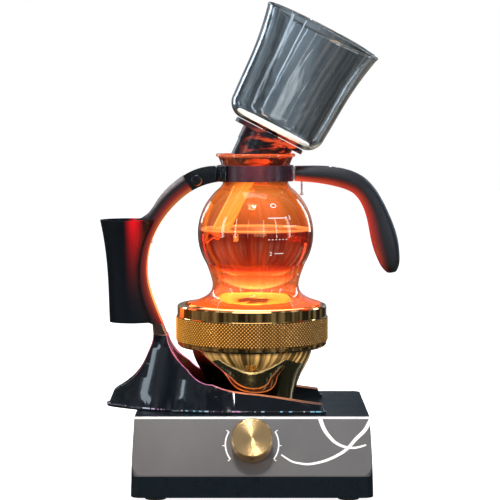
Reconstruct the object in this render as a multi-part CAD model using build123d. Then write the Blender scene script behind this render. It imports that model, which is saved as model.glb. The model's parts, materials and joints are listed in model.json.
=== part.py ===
"""Vacuum (siphon) coffee brewer standing on a halogen beam heater.

Millimetres, +Z up, +X to the right as the user faces the dial, -Y to the front.
The origin is on the table, on the axis of the lamp.
"""
import os
from math import atan2, cos, degrees, pi, radians, sin, sqrt, tan

from build123d import *

# ---------------------------------------------------------------- driving dimensions
# heater case
CASE_WIDTH = 190.6
CASE_FRONT_Y = -85.0
CASE_BACK_Y = 75.0
CASE_CORNER_R = 8.0
CASE_BOTTOM_Z = 3.0
BAND_TOP_Z = 19.7
DECK_Z = 62.7
DECK_FRONT_Y = -60.0
SIDE_DRAFT_DEG = 1.8
WALL = 2.2
PANEL_THICKNESS = 2.0
TRIM_WIDTH = 1.5
FOOT_R = 9.0

# dimmer knob, on the sloping panel
KNOB_R = 16.0
KNOB_DEPTH = 15.0
KNOB_GAP = 1.6
KNOB_UP = 2.0
SHAFT_R = 3.0
SHAFT_FIT = 0.05
BUSHING_R = 4.5

# lamp cup and its retaining ring
CUP_WALL = 1.2
CUP_FOOT_R = 34.0
CUP_FLOOR_Z = DECK_Z + 1.5
CUP_DRUM_R = 57.6
CUP_DRUM_TOP_Z = 134.5
RING_R = 62.0
RING_BORE_R = 58.4
RING_BOTTOM_Z = 112.7
RING_TOP_Z = 146.4
RING_LIP_R = 55.2
RING_LIP_Z = 141.2
KNURL_BOTTOM_Z = 116.5
KNURL_TOP_Z = 137.6
LUG_COUNT = 3
LUG_BOTTOM_Z = 120.0
LUG_HEIGHT = 3.0
LUG_OUT = 1.6
LUG_ARC_DEG = 20.0
RING_TURN_DEG = 45.0
WINDOW_THICKNESS = 4.0
GASKET_THICKNESS = 1.0

# server: globe, neck and glass foot
SERVER_X = 3.0
GLASS_WALL = 2.0
GLOBE_R = 47.5
GLOBE_Z = 205.0
NECK_R = 27.0
NECK_BOTTOM_Z = 246.0
NECK_TOP_R = 28.7
NECK_TOP_Z = 263.0
RIM_TOP_Z = 270.2
RIM_BEAD_R = 1.3
RIM_R = 32.5
GLASS_FOOT_Z = 147.0
GLASS_FOOT_R = 54.0
COLLAR_BOTTOM_Z = 247.7
COLLAR_TOP_Z = 260.8
COLLAR_BORE_R = 29.0
COLLAR_R = 31.2

# upper chamber, measured from the top of its filter down the axis
TILT_DEG = 27.3
FILTER_X = 17.5
FILTER_Z = 291.5
BOWL_HEIGHT = 88.0
BOWL_RIM_R = 50.5
BOWL_FLOOR = 3.0
STEM_R = 7.0
STEM_WALL = 1.3
STEM_LENGTH = 97.0
STOPPER_TOP = 5.5
STOPPER_FLANGE_R = 30.3
STOPPER_STEP = 9.4
STOPPER_PLUG_R = 22.6
STOPPER_BOTTOM = 38.0
STEM_FIT = 0.08
HOOK_TIP = 108.0

# stand
STAND_HALF_DEPTH = 47.0
STAND_HOLE_R = 38.0
STAND_END_X = 58.0
STAND_TIP_X = -118.3
HOLDER_X = -101.8
HOLDER_WALL = 2.2
HOLDER_TOP_Z = 216.0
HOLDER_BOTTOM_Z = 132.0
ARM_DEPTH = 17.0
BRACKET_DEPTH = 20.0
BRACKET_GAP = 0.5
LIP_HEIGHT = 2.0
LIP_OUT = 1.6
TIP_R = 14.0
LEG_END_R = 4.0
BOLT_X = -77.8
BOLT_R = 2.2
BOLT_HEAD_Z = DECK_Z + 12.0
BOLT_TOP_Z = 134.5
ARM_FOOT_Z = 130.5


# ---------------------------------------------------------------- small helpers
def place(shape, x=0.0, y=0.0, z=0.0):
    return Pos(x, y, z) * shape


def rod(radius, bottom, top, x=0.0, y=0.0):
    """Upright cylinder between two heights."""
    return place(Cylinder(radius, top - bottom), x, y, (bottom + top) / 2)


def tube(outer, inner, bottom, top, x=0.0, y=0.0):
    return rod(outer, bottom, top, x, y) - rod(inner, bottom - 1, top + 1, x, y)


def block(low, high):
    """Box between two corners."""
    size = [b - a for a, b in zip(low, high)]
    middle = [(a + b) / 2 for a, b in zip(low, high)]
    return Pos(*middle) * Box(*size)


def turned(edges):
    """Solid of revolution about Z from edges drawn in the XZ plane, right of the axis."""
    return revolve(make_face(edges), axis=Axis.Z)


def side_plate(edges, depth):
    """Plate cut to a side-view outline in the XZ plane, centred on Y = 0."""
    return extrude(make_face(edges), amount=depth / 2, both=True)


def lines(*points):
    return Polyline(*[(x, 0, z) for x, z in points])


def curve(*points):
    return Spline(*[(x, 0, z) for x, z in points])


def along_y(radius, front, back, x, z):
    """Cylinder lying along Y."""
    return Pos(x, (front + back) / 2, z) * Rot(90, 0, 0) * Cylinder(radius, back - front)


def along_x(radius, left, right, y, z):
    """Cylinder lying along X."""
    return Pos((left + right) / 2, y, z) * Rot(0, 90, 0) * Cylinder(radius, right - left)


def group(shapes):
    return Compound(children=list(shapes))


def wire_solid(path, radius):
    """Round wire along a path."""
    start = path.position_at(0)
    return sweep(Plane(start, z_dir=path.tangent_at(0)) * Circle(radius), path=path)


# ---------------------------------------------------------------- heater case
PANEL_RUN = DECK_FRONT_Y - CASE_FRONT_Y
PANEL_RISE = DECK_Z - BAND_TOP_Z
PANEL_LENGTH = sqrt(PANEL_RUN ** 2 + PANEL_RISE ** 2)
PANEL_NORMAL = Vector(0, -PANEL_RISE / PANEL_LENGTH, PANEL_RUN / PANEL_LENGTH)
PANEL_UP = Vector(0, PANEL_RUN / PANEL_LENGTH, PANEL_RISE / PANEL_LENGTH)
PANEL_MIDDLE = Vector(0, (CASE_FRONT_Y + DECK_FRONT_Y) / 2, (BAND_TOP_Z + DECK_Z) / 2)
KNOB_CENTRE = PANEL_MIDDLE + PANEL_UP * KNOB_UP
KNOB_PLANE = Plane(KNOB_CENTRE, x_dir=(1, 0, 0), z_dir=PANEL_NORMAL)


def case_block(inset):
    """The case's outer block, or its hollow when inset by the wall."""
    depth = CASE_BACK_Y - CASE_FRONT_Y
    middle_y = (CASE_BACK_Y + CASE_FRONT_Y) / 2
    outline = RectangleRounded(CASE_WIDTH - 2 * inset, depth - 2 * inset, CASE_CORNER_R - inset)
    height = DECK_Z - CASE_BOTTOM_Z
    body = extrude(outline, amount=height, taper=SIDE_DRAFT_DEG)
    return place(body, 0, middle_y, CASE_BOTTOM_Z)


def in_front_of_panel(offset):
    """Everything in front of the panel's face, moved back along its normal by offset."""
    reach = 200.0
    plane = Plane(PANEL_MIDDLE - PANEL_NORMAL * offset, x_dir=(1, 0, 0), z_dir=PANEL_NORMAL)
    return plane * Pos(0, 0, reach / 2) * Box(2 * reach, 2 * reach, reach)


def above(z):
    reach = 400.0
    return Pos(0, 0, z + reach / 2) * Box(reach, reach, reach)


TRAY_SCREWS = [(sx * 78.0, y) for sx in (-1, 1) for y in (-58.0, 58.0)]
FEET = [(sx * 76.0, y) for sx in (-1, 1) for y in (-72.0, 64.0)]
BOARD_X = (-72.0, -8.0)
BOARD_Y = (-28.0, 22.0)
BOARD_Z = 13.0
BOARD_THICKNESS = 1.6
BOARD_HOLES = [(x, y) for x in (-68.0, -12.0) for y in (-24.0, 18.0)]
CORD_X = 58.0
CORD_Z = 32.0
CORD_R = 3.6
GLAND_R = 7.0
GLAND_OUT = 17.5
SLOT_PITCH = 8.0


def vent_slots(count, centre, across, along, through):
    """Row of slots side by side along X; sizes in X, Y and Z for one slot."""
    first = centre[0] - (count - 1) * SLOT_PITCH / 2
    size = Box(across, along, through)
    return [Pos(first + i * SLOT_PITCH, centre[1], centre[2]) * size for i in range(count)]


def base_tray():
    hull = case_block(0) - above(BAND_TOP_Z)
    floor_z = CASE_BOTTOM_Z + WALL
    hollow = case_block(WALL) & above(floor_z)
    tray = hull - hollow
    for x, y in TRAY_SCREWS:
        tray += rod(5.0, floor_z - 1, BAND_TOP_Z, x, y)
        tray -= rod(2.1, 0, 40, x, y)
        tray -= rod(4.1, 0, CASE_BOTTOM_Z + 3.2, x, y)
    for x, y in BOARD_HOLES:
        tray += rod(3.0, floor_z - 1, BOARD_Z, x, y)
        tray -= rod(1.2, floor_z + 1, BOARD_Z + 1, x, y)
    slots = vent_slots(8, (38.0, -20.0, CASE_BOTTOM_Z), 3.0, 40.0, 10.0)
    slots += vent_slots(8, (38.0, 34.0, CASE_BOTTOM_Z), 3.0, 30.0, 10.0)
    for slot in slots:
        tray -= slot
    for x, y in FEET:
        tray -= rod(2.6, 0, 10, x, y)
    return tray


def housing():
    hull = case_block(0) & above(BAND_TOP_Z)
    hull -= in_front_of_panel(PANEL_THICKNESS)
    ceiling = DECK_Z - WALL
    hollow = case_block(WALL) - above(ceiling)
    shell = hull - (hollow & above(BAND_TOP_Z - 1))
    for x, y in TRAY_SCREWS:
        side = 1 if x > 0 else -1
        wall_x = side * (CASE_WIDTH / 2 - WALL - 0.5)
        front_boss = y < 0
        boss_top = 36.0 if front_boss else ceiling + 0.5
        shell += rod(5.0, BAND_TOP_Z, boss_top, x, y)
        shell += block((min(x, wall_x), y - 2, BAND_TOP_Z), (max(x, wall_x), y + 2, boss_top))
        shell -= rod(1.6, 0, BAND_TOP_Z + 12.0, x, y)
    shell -= in_front_of_panel(PANEL_THICKNESS)
    for slot in vent_slots(12, (-30.0, CASE_BACK_Y, 46.0), 3.2, 14.0, 18.0):
        shell -= slot
    shell -= along_y(GLAND_R, 60, 90, CORD_X, CORD_Z)
    shell -= rod(13.0, 50, 70)
    for x, y in CUP_SCREWS:
        shell -= rod(1.6, 50, 70, x, y)
    return sorted(shell.solids(), key=lambda solid: solid.volume)[-1]


def panel_slab():
    slab = case_block(0) & in_front_of_panel(PANEL_THICKNESS)
    slab -= in_front_of_panel(0)
    return slab & above(BAND_TOP_Z)


def front_panel():
    panel = panel_slab() - above(DECK_Z - TRIM_WIDTH)
    return panel - KNOB_PLANE * Cylinder(BUSHING_R + 0.2, 20)


def panel_trim():
    return panel_slab() & above(DECK_Z - TRIM_WIDTH)


def rubber_feet():
    feet = []
    for x, y in FEET:
        foot = rod(FOOT_R, 0, CASE_BOTTOM_Z, x, y)
        foot = chamfer(foot.edges().group_by(Axis.Z)[0], 0.8)
        stud = rod(2.4, CASE_BOTTOM_Z, CASE_BOTTOM_Z + WALL + 0.6, x, y)
        feet.append(foot + stud)
    return group(feet)


def pan_screw(radius, length, head_r, head_h):
    """Screw standing on its head: head below z = 0, shank above."""
    head = rod(head_r, -head_h, 0)
    head = fillet(head.edges().group_by(Axis.Z)[0], head_h * 0.45)
    head -= place(Box(head_r * 1.1, 0.9, 1.2), 0, 0, -head_h)
    head -= place(Box(0.9, head_r * 1.1, 1.2), 0, 0, -head_h)
    return head + rod(radius, -0.2, length)


def tray_screws():
    screw = pan_screw(1.55, 22.0, 3.6, 2.2)
    return group([place(screw, x, y, CASE_BOTTOM_Z + 3.2) for x, y in TRAY_SCREWS])


def cord_gland():
    """Round bush in the back wall that the supply cord is clamped in."""
    wall_in = 66.0
    back_outside = CASE_BACK_Y + GLAND_OUT
    gland = along_y(GLAND_R - 0.05, wall_in, back_outside - 3.0, CORD_X, CORD_Z)
    gland += along_y(9.5, CASE_BACK_Y - 0.5, CASE_BACK_Y + 4.0, CORD_X, CORD_Z)
    dome = along_y(8.4, CASE_BACK_Y + 3.5, back_outside, CORD_X, CORD_Z)
    gland += fillet(dome.edges().group_by(Axis.Y)[-1], 2.6)
    gland -= along_y(CORD_R, wall_in - 1, back_outside + 1, CORD_X, CORD_Z)
    return gland


def gland_nut():
    nut_front = 62.0
    hexagon = extrude(RegularPolygon(10.0, 6), amount=4.0)
    nut = Pos(CORD_X, nut_front + 4.0, CORD_Z) * Rot(90, 0, 0) * hexagon
    return nut - along_y(GLAND_R + 0.05, 50, 80, CORD_X, CORD_Z)


# ---------------------------------------------------------------- dimmer and wiring
def dimmer_board():
    top = BOARD_Z + BOARD_THICKNESS
    board = block((BOARD_X[0], BOARD_Y[0], BOARD_Z), (BOARD_X[1], BOARD_Y[1], top))
    for x, y in BOARD_HOLES:
        board -= rod(1.4, 0, 30, x, y)
    return board


def board_parts():
    """Film capacitor, choke and small parts standing on the board."""
    top = BOARD_Z + BOARD_THICKNESS
    capacitor = block((-64, -6, top), (-46, 4, top + 14))
    choke = place(Torus(7.0, 2.8), -28, 8, top + 2.8)
    diac = rod(2.0, top, top + 7, -50, -16)
    resistor = block((-40, -20, top), (-30, -16, top + 4))
    return group([capacitor, choke, diac, resistor])


def board_screws():
    screw = Rot(180, 0, 0) * pan_screw(1.15, 6.0, 2.3, 1.6)
    return group([place(screw, x, y, BOARD_Z + BOARD_THICKNESS) for x, y in BOARD_HOLES])


def heat_sink():
    base = block((0, -30, 7.0), (3, 20, 34))
    for i in range(6):
        base += block((2.5, -30 + i * 9.6, 7.0), (16, -28 + i * 9.6, 34))
    return base + block((0, -30, CASE_BOTTOM_Z + WALL), (16, 20, 7.5))


def triac():
    body = block((-4.5, -12, 17.0), (0, -2, 26.0))
    legs = [block((-3.0, -10.6 + i * 2.6, 14.6), (-2.4, -9.8 + i * 2.6, 17.0)) for i in range(3)]
    return group([body + leg for leg in legs[:1]] + legs[1:])


def potentiometer():
    back = -PANEL_THICKNESS
    body = Pos(0, 0, back - 5.5) * Cylinder(8.5, 11)
    body += Pos(0, 0, 0.9) * Cylinder(BUSHING_R, 7.8)
    body += Pos(0, -9.5, back - 5.5) * Box(12, 6, 5)
    body -= Pos(0, 0, 0) * Cylinder(SHAFT_R + SHAFT_FIT, 26.0)
    return KNOB_PLANE * body


def pot_nut():
    nut = extrude(RegularPolygon(7.2, 6), amount=1.5)
    return KNOB_PLANE * (nut - Cylinder(BUSHING_R + 0.05, 10))


def terminal_block():
    body = block((24, 38, CASE_BOTTOM_Z + WALL), (52, 54, 17))
    for i in range(3):
        body -= rod(2.2, 12, 20, 29 + i * 9, 46)
        body -= along_y(1.6, 30, 60, 29 + i * 9, 9.5)
    return body


def thermal_cutout():
    """Cut-out switch clamped under the deck beside the lamp."""
    body = rod(7.0, DECK_Z - WALL - 7.0, DECK_Z - WALL, 30, 24)
    return body + block((18, 22, DECK_Z - WALL - 1.0), (42, 26, DECK_Z - WALL))


def lead(points, radii, radius=1.1):
    path = FilletPolyline(*points, radius=radii)
    return wire_solid(path, radius)


def lamp_leads():
    """Two insulated leads from the dimmer board up to the lamp socket."""
    leads = []
    board_top = BOARD_Z + BOARD_THICKNESS
    for side in (-1, 1):
        x = side * 5.0
        start_x = -20.0 + side * 3.0
        points = [(start_x, -20, board_top), (start_x, -20, 42), (x, 0, 50), (x, 0, CUP_FLOOR_Z)]
        leads.append(lead(points, 7.0))
    return group(leads)


def supply_leads():
    """Leads from the terminal block to the cut-out and to the board."""
    first = [(29, 37.9, 9.5), (29, 28.0, 9.5), (-2, 28.0, 20.0), (-14, 14.0, 26.0), (-14, 14.0, 14.6)]
    second = [(47, 54.1, 9.5), (47, 62.0, 9.5), (47, 62.0, 48.0), (30, 40.0, 56.0), (30, 31.1, 56.0)]
    return group([lead(first, 5.0), lead(second, 5.0)])


# ---------------------------------------------------------------- lamp cup
CUP_SCREW_PCD_R = 26.0
CUP_SCREWS = [
    (CUP_SCREW_PCD_R * cos(radians(a)), CUP_SCREW_PCD_R * sin(radians(a))) for a in (90, 210, 330)
]
DRUM_FLOOR_Z = 114.0


def cup_outline(inset):
    """Side of the polished cup from its foot up to the drum, as one smooth curve."""
    radii = [(CUP_FOOT_R, DECK_Z), (36.6, 78.3), (40.6, 89.0), (45.4, 98.0), (48.6, 106.0), (49.4, 113.0)]
    return [(r - inset, z) for r, z in radii]


def lamp_cup():
    """Spun bowl with a floor, a shoulder and a short drum that the window lies on."""
    outside = cup_outline(0)
    inside = cup_outline(CUP_WALL)
    drum_in = CUP_DRUM_R - CUP_WALL
    shoulder = DRUM_FLOOR_Z + CUP_WALL
    edges = [
        curve(*outside),
        lines(outside[-1], (outside[-1][0], DRUM_FLOOR_Z), (CUP_DRUM_R, DRUM_FLOOR_Z),
              (CUP_DRUM_R, CUP_DRUM_TOP_Z), (drum_in, CUP_DRUM_TOP_Z), (drum_in, shoulder),
              (inside[-1][0], shoulder), inside[-1]),
        curve(*reversed(inside)),
        lines(inside[0], outside[0]),
    ]
    cup = turned(edges)
    cup += tube(CUP_FOOT_R - 0.4, 13.0, DECK_Z, CUP_FLOOR_Z)
    for x, y in CUP_SCREWS:
        cup -= rod(1.7, DECK_Z - 1, CUP_FLOOR_Z + 1, x, y)
    for i in range(LUG_COUNT):
        cup += bayonet_sector(i, CUP_DRUM_R - 0.5, CUP_DRUM_R + LUG_OUT, LUG_BOTTOM_Z,
                              LUG_BOTTOM_Z + LUG_HEIGHT, LUG_ARC_DEG, 0.0)
    return cup


def bayonet_sector(index, inner, outer, bottom, top, arc, turn):
    """One sector of a ring, for a bayonet lug or the slot that it enters by."""
    centre = 360.0 / LUG_COUNT * index + turn + 90.0
    ring = tube(outer, inner, bottom, top)
    reach = 100.0
    half = radians(arc / 2)
    middle = radians(centre)
    corners = [(0, 0)]
    for step in (-1.0, 0.0, 1.0):
        angle = middle + step * half
        corners.append((reach * cos(angle), reach * sin(angle)))
    wedge = extrude(make_face(Polyline(*corners, close=True)), amount=top - bottom)
    return ring & place(wedge, 0, 0, bottom)


def cup_screws():
    screw = Rot(180, 0, 0) * pan_screw(1.5, 5.0, 3.2, 2.0)
    return group([place(screw, x, y, CUP_FLOOR_Z) for x, y in CUP_SCREWS])


def lamp_socket():
    """Ceramic two-pin socket on the cup's floor."""
    socket = rod(15.0, CUP_FLOOR_Z, CUP_FLOOR_Z + 3) + rod(10.0, CUP_FLOOR_Z, 78)
    for side in (-1, 1):
        socket -= rod(1.3, 50, 100, side * 5.0, 0)
    return socket


def halogen_lamp():
    """Capsule with its pinched base and two pins."""
    capsule = rod(6.8, 86, 108) + place(Sphere(6.8), 0, 0, 108) + block((-7, -2, 79), (7, 2, 90))
    for side in (-1, 1):
        capsule += rod(0.8, 70, 82, side * 5.0, 0)
    return capsule


def lamp_reflector():
    """Deep dish that throws the lamp's light up through the window."""
    outside = [(11.0, 80.0), (24.0, 87.0), (36.0, 99.0), (44.0, 114.0), (49.0, 131.0)]
    inside = [(r - 0.7, z + 0.7) for r, z in outside]
    lip_r = CUP_DRUM_R - CUP_WALL - 0.3
    edges = [
        curve(*outside),
        lines(outside[-1], (lip_r, 131.0), (lip_r, 131.7), inside[-1]),
        curve(*reversed(inside)),
        lines(inside[0], outside[0]),
    ]
    return turned(edges)


WINDOW_BOTTOM_Z = CUP_DRUM_TOP_Z + GASKET_THICKNESS
WINDOW_TOP_Z = WINDOW_BOTTOM_Z + WINDOW_THICKNESS
WINDOW_R = CUP_DRUM_R - 0.2


def window_gasket():
    return tube(WINDOW_R, 53.5, CUP_DRUM_TOP_Z, WINDOW_BOTTOM_Z)


def lamp_window():
    disc = rod(WINDOW_R, WINDOW_BOTTOM_Z, WINDOW_TOP_Z)
    return chamfer(disc.edges(), 0.4)


def window_seal():
    return tube(WINDOW_R - 0.4, 53.5, WINDOW_TOP_Z, RING_LIP_Z - 0.3)


def knurled_ring():
    """Retaining ring with polished edges, a proud knurled band and a bayonet groove."""
    edge_in = 0.6
    edges = [lines(
        (RING_BORE_R, RING_BOTTOM_Z), (RING_R - edge_in - 1.5, RING_BOTTOM_Z),
        (RING_R - edge_in, RING_BOTTOM_Z + 1.5), (RING_R - edge_in, KNURL_BOTTOM_Z),
        (RING_R, KNURL_BOTTOM_Z + 0.5), (RING_R, KNURL_TOP_Z - 0.5), (RING_R - edge_in, KNURL_TOP_Z),
        (RING_R - edge_in, RING_TOP_Z - 1.0), (RING_R - edge_in - 1.0, RING_TOP_Z),
        (RING_LIP_R, RING_TOP_Z), (RING_LIP_R, RING_LIP_Z), (RING_BORE_R, RING_LIP_Z),
        (RING_BORE_R, RING_BOTTOM_Z))]
    ring = turned(edges)
    groove_r = CUP_DRUM_R + LUG_OUT + 0.5
    groove_top = LUG_BOTTOM_Z + LUG_HEIGHT + 0.5
    ring -= tube(groove_r, RING_BORE_R - 1, LUG_BOTTOM_Z - 0.5, groove_top)
    for i in range(LUG_COUNT):
        ring -= bayonet_sector(i, RING_BORE_R - 1, groove_r, RING_BOTTOM_Z - 1, groove_top,
                               LUG_ARC_DEG + 4.0, -RING_TURN_DEG)
    return ring


# ---------------------------------------------------------------- dimmer knob
def control_knob():
    knob = Pos(0, 0, KNOB_GAP + KNOB_DEPTH / 2) * Cylinder(KNOB_R, KNOB_DEPTH)
    knob = chamfer(knob.edges().group_by(Axis.Z)[-1], 0.7)
    knob -= Pos(0, 0, KNOB_GAP + 2.8) * Cylinder(9.0, 5.7)
    knob -= Pos(0, 0, KNOB_GAP + 5.6 + 3.0) * Cylinder(SHAFT_R, 8.0)
    knob -= Pos(0, -KNOB_R / 2 - 1, KNOB_GAP + 9.0) * Rot(90, 0, 0) * Cylinder(1.5, KNOB_R)
    return KNOB_PLANE * knob


def knob_screw():
    screw = Pos(0, -SHAFT_R - 3.5, KNOB_GAP + 9.0) * Rot(90, 0, 0) * Cylinder(1.45, 6.6)
    return KNOB_PLANE * screw


def dimmer_shaft():
    bottom = -10.0
    top = KNOB_GAP + 12.0
    shaft = Pos(0, 0, (bottom + top) / 2) * Cylinder(SHAFT_R, top - bottom)
    return KNOB_PLANE * shaft


# ---------------------------------------------------------------- stand
LEG_TOPS = [(58.0, 69.5), (40.0, 72.0), (5.0, 77.1), (-21.0, 80.8), (-36.0, 86.5), (-49.0, 93.5),
            (-60.5, 103.0), (-67.2, 113.0), (-69.8, 121.5)]
HEEL = [(-81.0, 121.5), (-82.0, 114.9), (-85.3, 107.0), (-89.3, 98.0), (-94.3, 90.2), (-105.8, 80.2),
        (-114.0, 75.0), (STAND_TIP_X, 67.5)]
NECK_TOP = 121.5


def foot_plan(grow=0.0):
    """Plan of the foot: two legs to the right, drawn together to a blunt tip at the left."""
    half = STAND_HALF_DEPTH + grow
    end = STAND_END_X + grow
    tip = STAND_TIP_X - grow
    tip_r = TIP_R + grow
    bend_x = -14.0
    run = bend_x - (tip + tip_r * 0.38)
    rise = half - tip_r * 0.78
    heading = 2 * atan2(rise, run)
    tip_x = tip + tip_r - tip_r * sin(heading)
    tip_y = tip_r * cos(heading)
    left = [
        TangentArc((bend_x, half), (tip_x, tip_y), tangent=(-1, 0)),
        ThreePointArc((tip_x, tip_y), (tip, 0), (tip_x, -tip_y)),
        TangentArc((bend_x, -half), (tip_x, -tip_y), tangent=(-1, 0)),
    ]
    plan = make_face(left + [Polyline((bend_x, -half), (end, -half), (end, half), (bend_x, half))])
    return fillet(plan.vertices().group_by(Axis.X)[-1], LEG_END_R)


def foot_hole():
    """Space between the legs that the lamp cup stands in, open to the right."""
    radius = STAND_HOLE_R
    centre = -28.0
    height = 120.0
    end = Cylinder(radius, height)
    run = 200.0
    slot = Pos(run / 2, 0, 0) * Box(run, 2 * radius, height)
    return Pos(centre, 0, DECK_Z + height / 2 - 10) * (end + slot)


def stand_foot():
    rise = 62.0
    side = side_plate([
        curve(*LEG_TOPS),
        lines(LEG_TOPS[-1], HEEL[0]),
        curve(*HEEL),
        lines(HEEL[-1], (STAND_TIP_X - 1, DECK_Z), (STAND_END_X + 1, DECK_Z),
              (STAND_END_X + 1, LEG_TOPS[0][1]), LEG_TOPS[0]),
    ], 120.0)
    body = place(extrude(foot_plan(), amount=rise, taper=22.0), 0, 0, DECK_Z + LIP_HEIGHT) & side
    body += place(extrude(foot_plan(LIP_OUT), amount=LIP_HEIGHT), 0, 0, DECK_Z)
    body -= foot_hole()
    body -= rod(4.2, DECK_Z - 1, BOLT_HEAD_Z, BOLT_X, 0)
    body -= rod(BOLT_R + 0.1, DECK_Z, NECK_TOP + 1, BOLT_X, 0)
    return body


def arm_bolt():
    """Bolt up through the foot into the arm."""
    head = rod(4.0, BOLT_HEAD_Z - 4.0, BOLT_HEAD_Z, BOLT_X, 0)
    return head + rod(BOLT_R, BOLT_HEAD_Z - 1.0, BOLT_TOP_Z, BOLT_X, 0)


def neck_sleeve():
    """Bright sleeve between the foot and the arm."""
    corners = [(-81.0, NECK_TOP), (-81.8, ARM_FOOT_Z), (-73.4, ARM_FOOT_Z), (-69.8, NECK_TOP)]
    sleeve = side_plate([lines(*corners, corners[0])], 15.0)
    sleeve = fillet(sleeve.edges().filter_by(lambda e: abs(e.tangent_at(0.5).Z) > 0.8), 1.2)
    return sleeve - rod(BOLT_R + 0.1, 100, 150, BOLT_X, 0)


# arm, seen from the front: its edge facing the globe, then its outer edge
ARM_SEAM_LOW = (-48.6, 240.2)
ARM_SEAM_HIGH = (-56.2, 252.2)
ARM_INNER = [ARM_SEAM_LOW, (-57.4, 233.6), (-67.2, 223.8), (-74.6, 213.9), (-80.0, 204.0),
             (-83.8, 194.1), (-86.0, 180.0), (-85.6, 167.0), (-82.4, 154.2), (-78.9, 144.6),
             (-75.6, 135.7), (-73.4, ARM_FOOT_Z)]
ARM_OUTER = [ARM_SEAM_HIGH, (-67.2, 243.5), (-76.3, 233.6), (-82.8, 223.8), (-89.0, 218.4),
             (-97.0, HOLDER_TOP_Z)]
# stem holder: height, left edge, right edge, half depth
HOLDER_SECTIONS = [(216.0, -124.8, -78.0, 23.0), (205.0, -122.6, -83.0, 20.6), (190.0, -120.4, -88.0, 18.0),
                   (174.0, -118.9, -89.6, 16.4), (158.0, -118.1, -88.2, 16.0), (145.0, -117.7, -84.6, 16.4),
                   (132.0, -117.3, -80.0, 17.0)]
HOLDER_SCREW_Z = (150.0, 198.0)


def holder_solid(inset):
    """Body of the stem holder as stacked ovals; inset gives its hollow."""
    ovals = []
    for z, left, right, half_depth in HOLDER_SECTIONS:
        oval = Ellipse((right - left) / 2 - inset, half_depth - inset)
        ovals.append(Pos((left + right) / 2, 0, z) * oval)
    return loft(ovals)


def stem_holder():
    """Tapered sleeve, open at both ends, that parks the upper chamber's stem."""
    sleeve = holder_solid(0) - holder_solid(HOLDER_WALL)
    for z in HOLDER_SCREW_Z:
        sleeve -= along_x(1.7, HOLDER_X, HOLDER_X + 30, 0, z)
    return sleeve


def arm_blank():
    base_left = (-86.0, HOLDER_BOTTOM_Z)
    return side_plate([
        curve(*ARM_INNER),
        lines(ARM_INNER[-1], (-81.8, ARM_FOOT_Z), base_left, (-97.0, HOLDER_BOTTOM_Z), ARM_OUTER[-1]),
        curve(*reversed(ARM_OUTER)),
        lines(ARM_SEAM_HIGH, ARM_SEAM_LOW),
    ], ARM_DEPTH)


def stand_arm():
    """Curved arm from the neck up to the bracket, shaped to the stem holder's side."""
    arm = arm_blank() - holder_solid(0) - arm_cover()
    arm = sorted(arm.solids(), key=lambda solid: solid.volume)[-1]
    arm -= rod(BOLT_R, 120, BOLT_TOP_Z + 0.2, BOLT_X, 0)
    for z in HOLDER_SCREW_Z:
        arm -= along_x(1.5, HOLDER_X, holder_inside_x(z) + 6.5, 0, z)
    return arm


COVER_DEPTH = ARM_DEPTH - 3.0
COVER_SINK = 1.2
COVER_PROUD = 0.4


def arm_cover():
    """Satin strip let into the arm's outer edge."""
    run = ARM_OUTER[:5]
    outer = [(x - 0.7 * COVER_PROUD, z + 0.7 * COVER_PROUD) for x, z in run]
    inner = [(x + 0.7 * COVER_SINK, z - 0.7 * COVER_SINK) for x, z in run]
    edges = [curve(*outer), lines(outer[-1], inner[-1]), curve(*reversed(inner)), lines(inner[0], outer[0])]
    strip = side_plate(edges, COVER_DEPTH)
    return strip - bracket_blank()


def holder_inside_x(z):
    """Right-hand inside of the holder at one of its screws."""
    hollow = holder_solid(HOLDER_WALL) & along_x(0.5, HOLDER_X, HOLDER_X + 40, 0, z)
    return hollow.bounding_box().max.X


def holder_screws():
    """Screws from inside the holder into the arm."""
    screws = []
    for z in HOLDER_SCREW_Z:
        inside = holder_inside_x(z)
        shank = along_x(1.4, inside - 1.0, inside + 6.0, 0, z)
        head = along_x(2.6, inside - 2.6, inside - 0.9, 0, z)
        screws.append(shank + head)
    return group(screws)


FORK_R = COLLAR_R + BRACKET_GAP
FORK_OUTER_R = FORK_R + 3.0
FORK_HALF_DEG = 46.0
BRACKET_SCREW = (-45.2, 248.6)
TONGUE_DEPTH = 7.0
TONGUE_LENGTH = 7.0
TONGUE_BOTTOM_Z = COLLAR_BOTTOM_Z + 3.0
TONGUE_TOP_Z = COLLAR_TOP_Z - 3.5


def bracket_blank():
    """Side outline of the bracket's arm, up to its seam with the stand's arm."""
    return side_plate([
        curve((-30.0, 260.0), (-43.0, 258.2), ARM_SEAM_HIGH),
        lines(ARM_SEAM_HIGH, ARM_SEAM_LOW),
        curve(ARM_SEAM_LOW, (-38.5, 244.8), (-24.0, COLLAR_BOTTOM_Z)),
        lines((-24.0, COLLAR_BOTTOM_Z), (-24.0, 260.0), (-30.0, 260.0)),
    ], BRACKET_DEPTH)


def collar_bracket():
    """Bracket on the arm whose fork and pocket carry the server's collar."""
    fork = tube(FORK_OUTER_R, FORK_R, COLLAR_BOTTOM_Z, COLLAR_TOP_Z - 0.8, SERVER_X)
    reach = 60.0
    spread = reach * tan(radians(FORK_HALF_DEG))
    outline = Polyline((0, 0), (-reach, spread), (-reach, -spread), close=True)
    wedge = extrude(make_face(outline), amount=40)
    fork &= place(wedge, SERVER_X, 0, COLLAR_BOTTOM_Z - 5)
    bracket = bracket_blank() + fork
    bracket -= rod(FORK_R, COLLAR_BOTTOM_Z - 20, COLLAR_TOP_Z + 20, SERVER_X)
    bracket -= tongue(0.4)
    x, z = BRACKET_SCREW
    return bracket - along_y(2.1, -BRACKET_DEPTH, BRACKET_DEPTH, x, z)


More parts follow.
